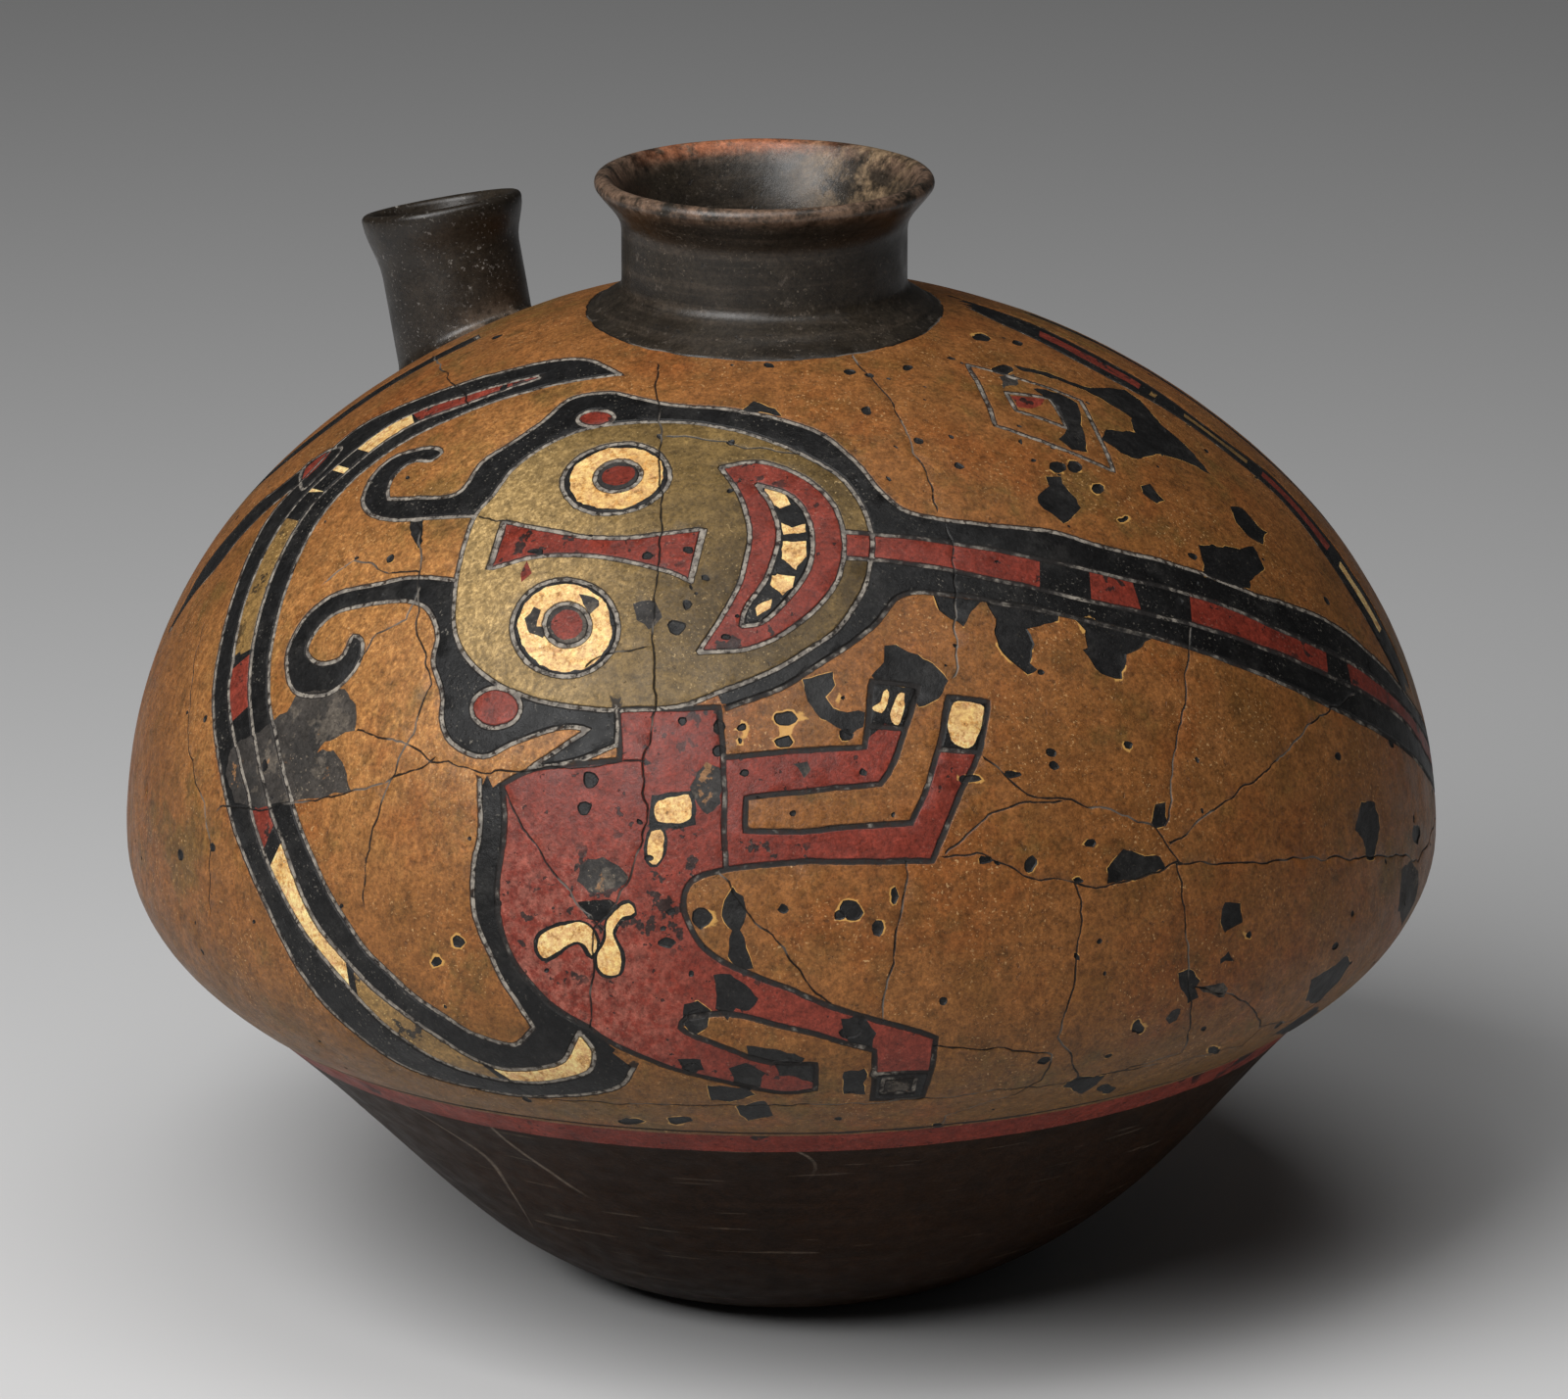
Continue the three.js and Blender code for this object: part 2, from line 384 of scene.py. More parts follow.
def oval(turn, drop, half_wide, half_high, tilt=0, gap=PATH_GAP):
    """An ellipse in millimetres; the tilt turns it anticlockwise."""
    centre = on_map(turn, drop)
    count = max(10, int(round(math.pi * (half_wide + half_high) / gap)))
    angle = 2 * math.pi * np.arange(count) / count
    shape = half_wide * np.cos(angle) + 1j * half_high * np.sin(angle)
    upright = centre / abs(centre) * 1j
    return centre + shape * upright * np.exp(1j * math.radians(tilt)) / size_on_map(np.array(centre))


def seen_oval(x, y, half_wide, half_high, tilt=0, gap=FINE_GAP):
    """The outline on the wall of an ellipse of the photo, all in its pixels."""
    angle = 2 * math.pi * np.arange(OVAL_POINTS) / OVAL_POINTS
    shape = (half_wide * np.cos(angle) + 1j * half_high * np.sin(angle)) * np.exp(1j * math.radians(tilt))
    places = seen(*zip(x + shape.real, y - shape.imag))
    return resampled(on_map(*np.array(places).T), gap, True)


def is_inside(points, outline):
    """Which points of the map lie inside a closed outline."""
    result = np.zeros(len(points), bool)
    near = np.flatnonzero((points.real > outline.real.min()) & (points.real < outline.real.max())
                          & (points.imag > outline.imag.min()) & (points.imag < outline.imag.max()))
    if len(near) == 0:
        return result
    x, y = points[near].real, points[near].imag
    odd = np.zeros(len(near), bool)
    for start, end in zip(outline, np.roll(outline, -1)):
        if start.imag == end.imag:
            continue
        spans = (start.imag > y) != (end.imag > y)
        crossing = (end.real - start.real) * (y - start.imag) / (end.imag - start.imag) + start.real
        odd ^= spans & (x < crossing)
    result[near] = odd
    return result


def runs(keep):
    """The starts and the ends of the stretches that are true."""
    edges = np.flatnonzero(np.diff(np.concatenate([[0], keep.astype(int), [0]])))
    return list(zip(edges[::2], edges[1::2]))


# What is on the wall: painted areas in painting order, cut lines, cracks and losses

PIGMENTS = ["ochre", "olive", "black", "red", "yellow", "bare", "worn", "gold", "neck"]
SAMPLE_GAP = 0.4
areas = []
mesh_lines = []
cuts = []
cracks = []
flakes = []


def paint(pigment, outline, edge=0.0, seed=1):
    """Colours the inside of an outline; a ragged edge is a line of the mesh."""
    if edge:
        outline = rough(outline, edge, PAINT_WAVE, seed)
        outline = rough(outline, edge * PAINT_GRAIN_SHARE, PAINT_GRAIN, seed + 1)
        mesh_lines.append((outline, True))
    areas.append((PIGMENTS.index(pigment), outline))


def incise(path, closed=False, pale=1.0, half=GROOVE_HALF, seed=3):
    """A cut line along a path. A pale one has dust in its floor."""
    cuts.append((resampled(path, SAMPLE_GAP, closed), pale))
    for side in (half, GROOVE_FLOOR, -GROOVE_FLOOR, -half):
        line = rough(beside(path, side, closed), CUT_WOBBLE, CUT_GRAIN, seed + side)
        mesh_lines.append((line, closed))


def outlined(pigment, outline, pale=1.0):
    """A painted area with a cut line round it."""
    paint(pigment, outline)
    incise(outline, closed=True, pale=pale)


def crack(places, seed=5, wander=1.2):
    """A crack through (turn, drop) places. Its path is given back."""
    path = rough(straight(places, gap=CRACK_STEP), wander, CRACK_WAVE, seed)
    path = rough(path, CRACK_WOBBLE, CRACK_GRAIN, seed)
    cracks.append(resampled(path, SAMPLE_GAP, False))
    for side in (CRACK_HALF, 0, -CRACK_HALF):
        mesh_lines.append((beside(path, side), False))
    return path


def flake(outline, pigment="bare", edge=0.9, seed=9, yellow_rim=1.0):
    """A patch where the slip has come off, a little lower than its surroundings."""
    outline = rough(outline, edge, FLAKE_WAVE, seed)
    outline = rough(outline, edge * FLAKE_GRAIN_SHARE, FLAKE_GRAIN, seed + 1)
    middle = outline.mean(keepdims=True)
    on_paint = any(is_inside(middle, area)[0] for _, area in areas)
    flakes.append((outline, 0.0 if on_paint else yellow_rim))
    areas.append((PIGMENTS.index(pigment), outline))
    mesh_lines.append((outline, True))
    mesh_lines.append((beside(outline, FLAKE_STEP, True), True))


# Ribbon from the head's top left, down the left side and under the body. Its four lines are read
# from the photo, in its pixels
ribbon_1 = drawn(seen((632, 380), (592, 364), (520, 375), (440, 400), (357, 440), (315, 480), (277, 520),
                      (254, 560), (227, 640), (215, 720), (225, 800), (241, 860), (277, 940), (324, 1020),
                      (366, 1060), (420, 1094), (505, 1117), (563, 1121), (631, 1111), (646, 1092)))
ribbon_2 = drawn(seen((548, 381), (480, 399), (400, 430), (335, 480), (295, 520), (252, 600), (234, 680),
                      (231, 720), (247, 800), (263, 860), (300, 940), (363, 1020), (406, 1060), (469, 1094),
                      (540, 1107), (600, 1095), (605, 1075), (590, 1055)))
ribbon_3 = drawn(seen((548, 384), (480, 408), (408, 438), (353, 480), (312, 520), (271, 600), (253, 680),
                      (253, 720), (266, 800), (290, 870), (319, 940), (369, 1000), (446, 1060), (505, 1091),
                      (570, 1087), (590, 1055)))
ribbon_4 = drawn(seen((632, 380), (560, 391), (480, 416), (401, 455), (330, 520), (290, 600), (272, 680),
                      (273, 720), (290, 800), (319, 880), (363, 960), (400, 1000), (454, 1040), (491, 1060),
                      (523, 1068), (544, 1050)),
                 seen((544, 1050), (509, 996), (484, 934), (482, 880), (488, 854), (488, 795)))

# Outline of the figure's body, legs and arms, from the neck round by the back
BODY_BACK = seen((512, 800), (514, 840), (506, 920), (519, 974), (557, 1023), (600, 1050))
BODY_FRONT = seen((956, 1060), (860, 1032), (800, 1008), (733, 980), (713, 963), (697, 926), (705, 900),
                  (740, 888))
figure = drawn(
    seen((630, 724), (632, 775)),
    seen((632, 775), (600, 778), (545, 785), (512, 800)),
    BODY_BACK,
    seen((600, 1050), (613, 1060), (680, 1090), (760, 1110), (800, 1117), (832, 1113)),
    seen((832, 1113), (832, 1087)),
    seen((832, 1087), (787, 1086), (727, 1066), (693, 1050), (700, 1040)),
    seen((700, 1040), (735, 1036), (790, 1046), (850, 1062), (893, 1074)),
    seen((893, 1074), (890, 1124)),
    seen((890, 1124), (942, 1122)),
    seen((942, 1122), (956, 1060)),
    BODY_FRONT,
    seen((740, 888), (827, 880), (899, 880), (952, 879)),
    seen((952, 879), (963, 853), (977, 818), (1000, 766), (1009, 716)),
    seen((1009, 716), (968, 711)),
    seen((968, 711), (958, 766), (945, 807), (930, 840)),
    seen((930, 840), (827, 848), (760, 848)),
    seen((760, 848), (760, 814)),
    seen((760, 814), (820, 808), (899, 800)),
    seen((899, 800), (909, 786), (925, 741), (938, 700)),
    seen((938, 700), (890, 694)),
    seen((890, 694), (883, 762)),
    seen((883, 762), (849, 764), (791, 768), (738, 773)),
    seen((738, 773), (734, 721)),
    seen((734, 721), (690, 723), (630, 724)),
)
back_line = drawn(seen((646, 1092), (613, 1060), (600, 1050)), BODY_BACK[::-1])
ribbon = np.concatenate([ribbon_1, back_line, ribbon_4[::-1]])
paint("black", ribbon)


def stretch(first, second, start, end):
    """The outline of a stretch between two paths, by shares of each one's length."""
    return between(*(line[int(start * len(line)):int(end * len(line))] for line in (first, second)))


RIBBON_STRETCHES = [("red", 0.0, 0.127), ("yellow", 0.125, 0.182), ("yellow", 0.2, 0.212),
                    ("yellow", 0.228, 0.238), ("gold", 0.262, 0.405), ("red", 0.41, 0.468),
                    ("red", 0.548, 0.588), ("yellow", 0.6, 0.73), ("gold", 0.735, 0.875),
                    ("yellow", 0.882, 1.0)]
for pigment, start, end in RIBBON_STRETCHES:
    paint(pigment, stretch(ribbon_2, ribbon_3, start, end), edge=0.5, seed=int(start * 90))

# Second ribbon, at the left edge, and the worn red spot beside it
side_stroke = np.concatenate([
    drawn(seen((308, 476), (283, 496), (261, 513), (236, 540), (203, 583), (185, 616), (170, 644))),
    drawn(seen((173, 641), (195, 606), (220, 576), (246, 543), (273, 516), (303, 492)))])
far_stroke = np.concatenate([
    drawn([(-95, 34), (-94, 50), (-93, 68), (-93, 84), (-95, 100), (-99, 116)]),
    drawn([(-102, 114), (-99, 100), (-97, 84), (-97.5, 68), (-98.5, 50), (-100, 36)])])
spot = hand(smooth(seen((347, 456), (336, 457), (322, 465), (307, 476), (304, 488), (308, 498), (330, 477)),
                   closed=True))
spot_middle = hand(smooth(seen((337, 459), (322, 468), (309, 478), (309, 488), (322, 476)), closed=True))
outlined("black", side_stroke, pale=0.6)
outlined("black", far_stroke, pale=0.6)
outlined("black", spot)
paint("red", spot_middle, edge=0.8)

# Head: a black band with a hook and a lobe round an olive face, and the long tail to the right.
# Behind the right edge the tail goes on round the back, in turns and drops
head = hand(smooth(seen((484, 524), (500, 505), (520, 478), (560, 450), (600, 435), (680, 429), (740, 435),
                        (820, 463), (860, 487), (885, 525), (890, 560), (880, 605), (850, 645), (790, 683),
                        (740, 703), (690, 721), (600, 723), (540, 712), (487, 685), (466, 655), (462, 625),
                        (470, 565)), closed=True))
band_high = drawn(
    seen((484, 525), (440, 527), (400, 529), (375, 523), (368, 512), (371, 498), (382, 480), (398, 466),
         (418, 458), (440, 455), (449, 460), (440, 468), (420, 469), (400, 484), (393, 500), (394, 508)),
    seen((394, 508), (420, 507), (462, 503), (475, 492), (490, 470), (520, 450), (550, 430), (580, 405),
         (620, 399), (680, 411), (760, 418), (800, 428), (840, 443), (870, 467), (905, 505), (923, 519),
         (960, 527), (1000, 533), (1069, 540), (1131, 558), (1200, 575), (1285, 606), (1361, 635),
         (1400, 665), (1438, 708)) + [(88, 176), (96, 190), (118, 204), (150, 214)])
band_low = drawn(
    seen((464, 592), (450, 590), (419, 588), (380, 596), (335, 608), (305, 635), (290, 669), (299, 705),
         (338, 704), (362, 680), (368, 655), (359, 648), (347, 670), (322, 677), (311, 662), (333, 630),
         (380, 615), (424, 615), (440, 627), (446, 650), (441, 675), (450, 710), (450, 735), (458, 757),
         (490, 772), (525, 757), (575, 741), (600, 744)),
    seen((600, 744), (580, 756), (560, 770), (540, 785)),
    seen((540, 785), (590, 775), (629, 760)),
    seen((629, 760), (630, 735), (628, 722)))
tail_low = drawn(
    seen((742, 722), (790, 705), (845, 672), (890, 640), (905, 622), (915, 610), (931, 604), (977, 606),
         (1027, 615), (1131, 637), (1208, 658), (1300, 692), (1381, 731), (1446, 773))
    + [(84, 188), (96, 206), (118, 218), (150, 221)])
core_high = drawn(
    seen((863, 541), (923, 546), (1015, 560), (1123, 583), (1231, 610), (1323, 648), (1400, 688), (1431, 715))
    + [(86, 178), (96, 195), (118, 208), (150, 216)])
core_low = drawn(
    seen((863, 568), (923, 573), (1015, 590), (1123, 615), (1215, 636), (1300, 663), (1377, 698), (1438, 738))
    + [(84, 181), (96, 200), (118, 213), (150, 219)])
inside_head = on_map(*np.array(seen((700, 650), (600, 600), (520, 540))).T)
paint("black", np.concatenate([band_high, tail_low[::-1], inside_head]))
paint("black", np.concatenate([band_low, inside_head[1:]]))
paint("olive", head)

TAIL_STRETCHES = [(0.0, 0.125), (0.155, 0.19), (0.225, 0.345), (0.365, 1.0)]
for start, end in TAIL_STRETCHES:
    paint("red", stretch(core_high, core_low, start, end), edge=0.9, seed=int(start * 70))
LOBE_SPOT = (505, 722, 25, 21)
BAND_SPOT = (607, 425, 19, 8, 3)
lobe_spot = hand(seen_oval(*LOBE_SPOT))
band_spot = hand(seen_oval(*BAND_SPOT))
paint("red", lobe_spot, edge=0.6)
paint("red", band_spot)

# Face: two eyes, a flared nose and an open mouth with square teeth. An eye is its middle, half axes
# and tilt in the photo, then the half axes of its inner ring and of its pupil
EYES = [(628, 487, 56, 36, 10, (24, 16), (18, 10)), (576, 640, 55, 50, 0, (23, 22), (16, 15))]
EYE_EDGE_X = 7
EYE_EDGE_Y = 5
PUPIL_RIGHT = 2
PUPIL_UP = 3
RED_DOT = (536, 586, 6, 6)
eyes = []
for x, y, wide, high, tilt, inner_ring, pupil in EYES:
    pupil_place = (x + PUPIL_RIGHT, y - PUPIL_UP)
    eyes.append(hand(seen_oval(x, y, wide, high, tilt)))
    eyes.append(hand(seen_oval(*pupil_place, *inner_ring, tilt)))
    paint("bare", eyes[-2])
    paint("yellow", seen_oval(x, y, wide - EYE_EDGE_X, high - EYE_EDGE_Y, tilt), edge=0.7, seed=x)
    paint("worn", eyes[-1])
    paint("red", seen_oval(*pupil_place, *pupil, tilt), edge=0.5, seed=y)
paint("red", seen_oval(*RED_DOT, gap=0.8))
nose = between(drawn(seen((512, 531), (560, 540), (610, 548), (660, 545), (719, 538))),
               drawn(seen((497, 580), (550, 567), (620, 568), (680, 582), (705, 593))))
mouth = between(
    drawn(seen((735, 475), (775, 470), (820, 485), (852, 515), (862, 555), (850, 600), (815, 635),
               (765, 661), (712, 665))),
    drawn(seen((735, 475), (755, 505), (765, 545), (755, 592), (735, 630), (712, 665))))
tooth_gap = between(
    drawn(seen((772, 492), (808, 505), (827, 535), (826, 575), (805, 608), (775, 635), (756, 638))),
    drawn(seen((772, 492), (788, 517), (794, 550), (782, 588), (760, 622), (756, 638))))
paint("red", nose, edge=0.3)
paint("red", mouth, edge=0.3)
paint("black", tooth_gap)
TEETH = [
    ((781, 495), (800, 501), (807, 513), (795, 518), (780, 507)),
    ((797, 532), (808, 538), (822, 534), (822, 543), (799, 545)),
    ((799, 552), (823, 551), (823, 566), (813, 580), (797, 569)),
    ((787, 585), (811, 587), (809, 599), (798, 607), (786, 596)),
    ((770, 620), (780, 614), (787, 610), (785, 621), (772, 627)),
]
for tooth in TEETH:
    paint("yellow", straight(seen(*tooth), closed=True, gap=FINE_GAP), edge=0.5, seed=tooth[0][1])

# Body, arms and legs, with the hands' nails and the body's marks in their black borders
DARK_PATCHES = [
    ((890, 694), (938, 700), (925, 743), (903, 738), (883, 758)),
    ((968, 711), (1009, 716), (1003, 766), (960, 764)),
    ((893, 1098), (948, 1096), (942, 1122), (890, 1124)),
    ((664, 812), (708, 806), (710, 842), (690, 846), (662, 846)),
    ((812, 1086), (832, 1087), (832, 1104), (818, 1098)),
    ((588, 922), (622, 918), (632, 926), (612, 944), (600, 938)),
]
YELLOW_MARKS = [
    ((975, 717), (1003, 722), (1003, 742), (990, 762), (971, 754)),
    ((902, 705), (906, 703), (906, 720), (900, 727), (889, 723), (899, 717)),
    ((917, 708), (922, 705), (922, 727), (915, 741), (909, 736)),
    ((669, 820), (690, 813), (701, 811), (704, 835), (690, 840), (669, 838)),
    ((665, 850), (674, 848), (675, 872), (667, 882), (661, 878)),
    ((548, 958), (575, 945), (597, 945), (607, 958), (603, 976), (590, 962), (554, 978)),
    ((630, 928), (641, 922), (646, 933), (634, 938), (625, 955), (634, 975), (630, 994), (614, 994),
     (608, 980), (618, 960), (620, 940)),
]
MARK_BORDER = 0.9
paint("red", figure)
for dark in DARK_PATCHES:
    paint("black", straight(seen(*dark), closed=True, gap=FINE_GAP), edge=0.4, seed=dark[0][0])
for mark in YELLOW_MARKS:
    mark_outline = hand(smooth(seen(*mark), closed=True, gap=FINE_GAP))
    paint("black", grown(mark_outline, MARK_BORDER), edge=0.35, seed=mark[0][0] + 1)
    paint("yellow", mark_outline, edge=0.45, seed=mark[0][0])
toe_nail = hand(straight(seen((901, 1103), (936, 1101), (933, 1117), (899, 1118)), closed=True, gap=FINE_GAP))
paint("worn", toe_nail)

# Ribbon on the right shoulder and the diamond beside it
shoulder_high = drawn(seen((980, 303), (1020, 316), (1060, 331), (1100, 350), (1140, 372), (1180, 396),
                           (1220, 425), (1260, 455), (1300, 486), (1340, 528), (1380, 580), (1410, 630))
                      + [(84, 160)])
shoulder_low = drawn(seen((990, 312), (1020, 327), (1060, 345), (1100, 366), (1140, 388), (1180, 410),
                          (1220, 436), (1260, 467), (1300, 500), (1340, 545), (1375, 595), (1405, 645))
                     + [(80, 159)])
paint("black", between(shoulder_high, shoulder_low))


def matched(path, count):
    """The path with another number of points."""
    at = np.linspace(0, len(path) - 1, count)
    place = np.arange(len(path))
    return np.interp(at, place, path.real) + 1j * np.interp(at, place, path.imag)


def stripe(first, second, near, far, start, end):
    """A stripe within the band between two paths, by shares of the band's width and length."""
    second = matched(second, len(first))
    low, high = int(start * len(first)), int(end * len(first))
    return between((first + (second - first) * near)[low:high], (first + (second - first) * far)[low:high])


SHOULDER_STRIPES = [("red", 0.3, 0.7, 0.14, 0.33), ("gold", 0.35, 0.7, 0.35, 0.37),
                    ("gold", 0.35, 0.65, 0.41, 0.55), ("red", 0.3, 0.7, 0.57, 0.74),
                    ("yellow", 0.35, 0.65, 0.76, 0.9)]
for pigment, near, far, start, end in SHOULDER_STRIPES:
    paint(pigment, stripe(shoulder_high, shoulder_low, near, far, start, end), edge=0.5, seed=int(start * 50))
edge_stroke = between(drawn([(112, 30), (104, 52), (99, 76), (97, 100), (96, 124)]),
                      drawn([(117, 32), (108, 54), (102, 78), (99.5, 102), (98, 126)]))
outlined("black", edge_stroke, pale=0.5)
diamond = hand(straight(seen((988, 370), (1104, 407), (1138, 480), (1017, 432)), closed=True))
inner_diamond = hand(straight(seen((1027, 398), (1072, 404), (1091, 435), (1038, 417)), closed=True))
red_scrap = straight(seen((1032, 402), (1067, 406), (1064, 413), (1054, 415), (1040, 414)), closed=True,
                     gap=FINE_GAP)
paint("red", red_scrap, edge=0.6)

# Cut lines, with pale dust in those of the head and the ribbons
for line in (ribbon_1, ribbon_2, ribbon_3, ribbon_4, band_high, band_low):
    incise(line)
for line in (head, nose, mouth, tooth_gap, band_spot, lobe_spot, *eyes):
    incise(line, closed=True)
for line in (tail_low, core_high, core_low, shoulder_high, shoulder_low):
    incise(line, pale=0.55)
incise(figure, closed=True, pale=0.35)
SHORT_CUTS = [((738, 773), (739, 853), (740, 888)), ((886, 741), (924, 744)), ((960, 764), (1001, 768)),
              ((890, 1098), (947, 1096))]
for pixels, dust in zip(SHORT_CUTS, (0.5, 0.4, 0.4, 0.4)):
    incise(drawn(seen(*pixels)), pale=dust)
incise(toe_nail, closed=True, pale=0.5, half=0.7)
incise(diamond, closed=True, pale=0.8)
incise(inner_diamond, closed=True, pale=0.8)
ABOVE_FOLD = 2.2
FOLD_LINE_WAVE = 0.5
fold_line = [(turn, WALL_LENGTH - ABOVE_FOLD + FOLD_LINE_WAVE * math.sin(turn / 9))
             for turn in range(-75, 80, 5)]
incise(drawn(fold_line), pale=0.2)

# Losses of the slip: larger ones by their outlines in the photo, and ovals in its pixels
LOSSES = [
    ((1036, 371), (1070, 379), (1110, 394), (1150, 397), (1165, 408), (1185, 432), (1215, 458), (1238, 484),
     (1205, 468), (1180, 462), (1163, 468), (1145, 462), (1125, 447), (1130, 437), (1160, 441), (1155, 425),
     (1120, 403), (1085, 388), (1040, 375)),
    ((1055, 395), (1080, 398), (1100, 410), (1108, 440), (1110, 460), (1095, 458), (1084, 447), (1091, 435),
     (1075, 408)),
    ((1058, 505), (1072, 494), (1070, 485), (1083, 484), (1085, 492), (1100, 508), (1104, 518), (1095, 528),
     (1085, 532), (1062, 513)),
    ((1165, 494), (1175, 493), (1190, 510), (1180, 511), (1168, 503)),
    ((1130, 888), (1146, 868), (1185, 875), (1190, 887), (1160, 897), (1130, 903)),
    ((1391, 818), (1405, 819), (1410, 845), (1404, 878), (1396, 878), (1393, 855), (1385, 848)),
    ((1250, 922), (1267, 922), (1268, 942), (1250, 954), (1247, 940)),
    ((1245, 978), (1255, 972), (1261, 980), (1246, 984)),
    ((1203, 993), (1215, 990), (1226, 1000), (1220, 1010), (1225, 1018), (1213, 1025), (1206, 1010)),
    ((1340, 1000), (1360, 988), (1375, 976), (1380, 982), (1370, 1000), (1345, 1025), (1333, 1022)),
    ((1180, 822), (1190, 820), (1191, 845), (1183, 845), (1175, 840)),
    ((1085, 1110), (1100, 1100), (1130, 1098), (1120, 1108), (1105, 1118)),
    ((722, 1110), (760, 1112), (770, 1118), (745, 1126), (724, 1124)),
    ((750, 1130), (780, 1124), (790, 1140), (762, 1145)),
    ((862, 1095), (885, 1092), (882, 1118), (862, 1117)),
    ((890, 690), (902, 674), (905, 658), (915, 657), (925, 666), (937, 666), (952, 676), (968, 694),
     (958, 712), (938, 722), (934, 702), (893, 694)),
    ((820, 692), (850, 686), (852, 700), (843, 710), (850, 722), (864, 728), (884, 726), (882, 742),
     (868, 750), (848, 738), (836, 733), (825, 715)),
    ((952, 606), (963, 627), (984, 638), (992, 622), (1006, 612), (1016, 632), (1017, 654), (1033, 677),
     (1050, 688), (1058, 682), (1050, 676), (1058, 658), (1050, 642), (1079, 634), (1081, 625), (1027, 614)),
    ((1092, 626), (1107, 642), (1111, 661), (1106, 663), (1123, 688), (1146, 692), (1152, 668), (1180, 650),
     (1131, 636)),
    ((1225, 556), (1265, 558), (1281, 558), (1294, 580), (1277, 592), (1279, 602), (1231, 588)),
    ((1256, 515), (1269, 517), (1285, 535), (1294, 542), (1290, 555), (1279, 550), (1261, 531)),
    ((745, 905), (758, 915), (762, 930), (756, 950), (770, 990), (757, 993), (743, 978), (746, 950),
     (735, 935)),
    ((417, 528), (432, 528), (430, 552), (425, 560), (419, 545)),
    ((728, 996), (746, 994), (760, 1008), (774, 1020), (768, 1032), (750, 1030), (742, 1042), (730, 1030)),
    ((696, 1026), (712, 1022), (727, 1030), (722, 1050), (706, 1058), (694, 1045)),
    ((762, 1068), (790, 1072), (822, 1080), (815, 1090), (785, 1086), (764, 1080)),
    ((745, 1090), (762, 1087), (780, 1096), (776, 1111), (760, 1115), (748, 1106)),
    ((790, 1086), (826, 1084), (830, 1106), (812, 1100), (795, 1097)),
    ((692, 1082), (714, 1082), (717, 1094), (700, 1097)),
    ((858, 1040), (884, 1038), (893, 1056), (889, 1074), (872, 1070), (862, 1056)),
    ((1302, 1056), (1344, 1028), (1348, 1032), (1310, 1060)),
    ((756, 417), (770, 408), (790, 416), (798, 424), (776, 420)),
]
LOSS_OVALS = [
    (1147, 529, 6, 4), (1121, 497, 6, 5), (1081, 475, 8, 5), (1098, 475, 8, 5), (1043, 449, 3, 3),
    (1024, 375, 11, 4), (1002, 343, 9, 4), (1113, 861, 5, 5), (1102, 897, 6, 3), (1052, 882, 6, 10),
    (1276, 956, 3, 4), (1163, 1049, 6, 8), (1101, 977, 3, 4), (1240, 1073, 6, 4), (1153, 760, 5, 5),
    (1448, 852, 4, 9), (693, 1145, 14, 4), (645, 1146, 14, 3), (762, 1096, 13, 6), (706, 1090, 10, 5),
    (958, 1150, 5, 3), (717, 937, 11, 11), (800, 928, 6, 6), (868, 930, 13, 11), (857, 934, 6, 6),
    (913, 915, 5, 11), (897, 948, 5, 7), (683, 932, 5, 5), (676, 948, 4, 3), (680, 962, 9, 6),
    (700, 1088, 6, 4),
    (710, 1040, 11, 8), (868, 1054, 12, 8), (695, 735, 5, 5), (760, 788, 5, 5), (880, 788, 5, 5),
    (600, 795, 9, 8), (595, 825, 8, 7), (861, 711, 3, 3), (800, 733, 13, 7), (757, 742, 6, 5),
    (755, 756, 4, 4), (800, 757, 10, 6), (865, 750, 8, 6), (700, 617, 5, 5), (705, 600, 3, 3),
    (690, 640, 9, 9), (720, 588, 6, 3),
    (465, 961, 6, 7), (443, 982, 5, 5), (1005, 878, 6, 5), (1130, 1112, 9, 5), (990, 795, 12, 4),
    (1035, 790, 9, 4), (700, 560, 5, 4), (660, 566, 6, 4), (545, 562, 8, 4), (735, 740, 5, 9),
]
GREY_LOSSES = [
    ((262, 745), (292, 725), (300, 708), (350, 702), (362, 720), (362, 745), (330, 757), (322, 768),
     (340, 765), (352, 790), (358, 807), (320, 815), (262, 825), (238, 820), (228, 790), (232, 765)),
    ((707, 795), (720, 778), (735, 785), (738, 800), (735, 820), (720, 830), (710, 820), (702, 805)),
    ((588, 900), (589, 885), (600, 877), (615, 876), (630, 884), (640, 895), (635, 905), (615, 912),
     (600, 913)),
    ((1225, 1008), (1250, 1004), (1254, 1010), (1250, 1018), (1230, 1014)),
    ((1432, 888), (1442, 880), (1450, 890), (1446, 920), (1432, 945), (1428, 930)),
    ((645, 615), (668, 612), (676, 630), (662, 642), (648, 632)),
    ((592, 604), (606, 606), (611, 618), (600, 626), (594, 618)),
    ((545, 620), (550, 622), (547, 640), (558, 642), (552, 651), (541, 646), (537, 632)),
    ((1020, 382), (1036, 380), (1040, 390), (1026, 395)),
    ((1190, 1040), (1198, 1030), (1207, 1031), (1203, 1041), (1193, 1046)),
    ((810, 780), (824, 776), (828, 786), (820, 795)),
]
for number, pixels in enumerate(LOSSES):
    flake(straight(seen(*pixels), closed=True), edge=0.8, seed=number)
for number, place in enumerate(LOSS_OVALS):
    flake(seen_oval(*place), edge=0.9, seed=number + 40)
for number, pixels in enumerate(GREY_LOSSES):
    flake(straight(seen(*pixels), closed=True), "worn", edge=0.9, seed=number + 120, yellow_rim=0.3)

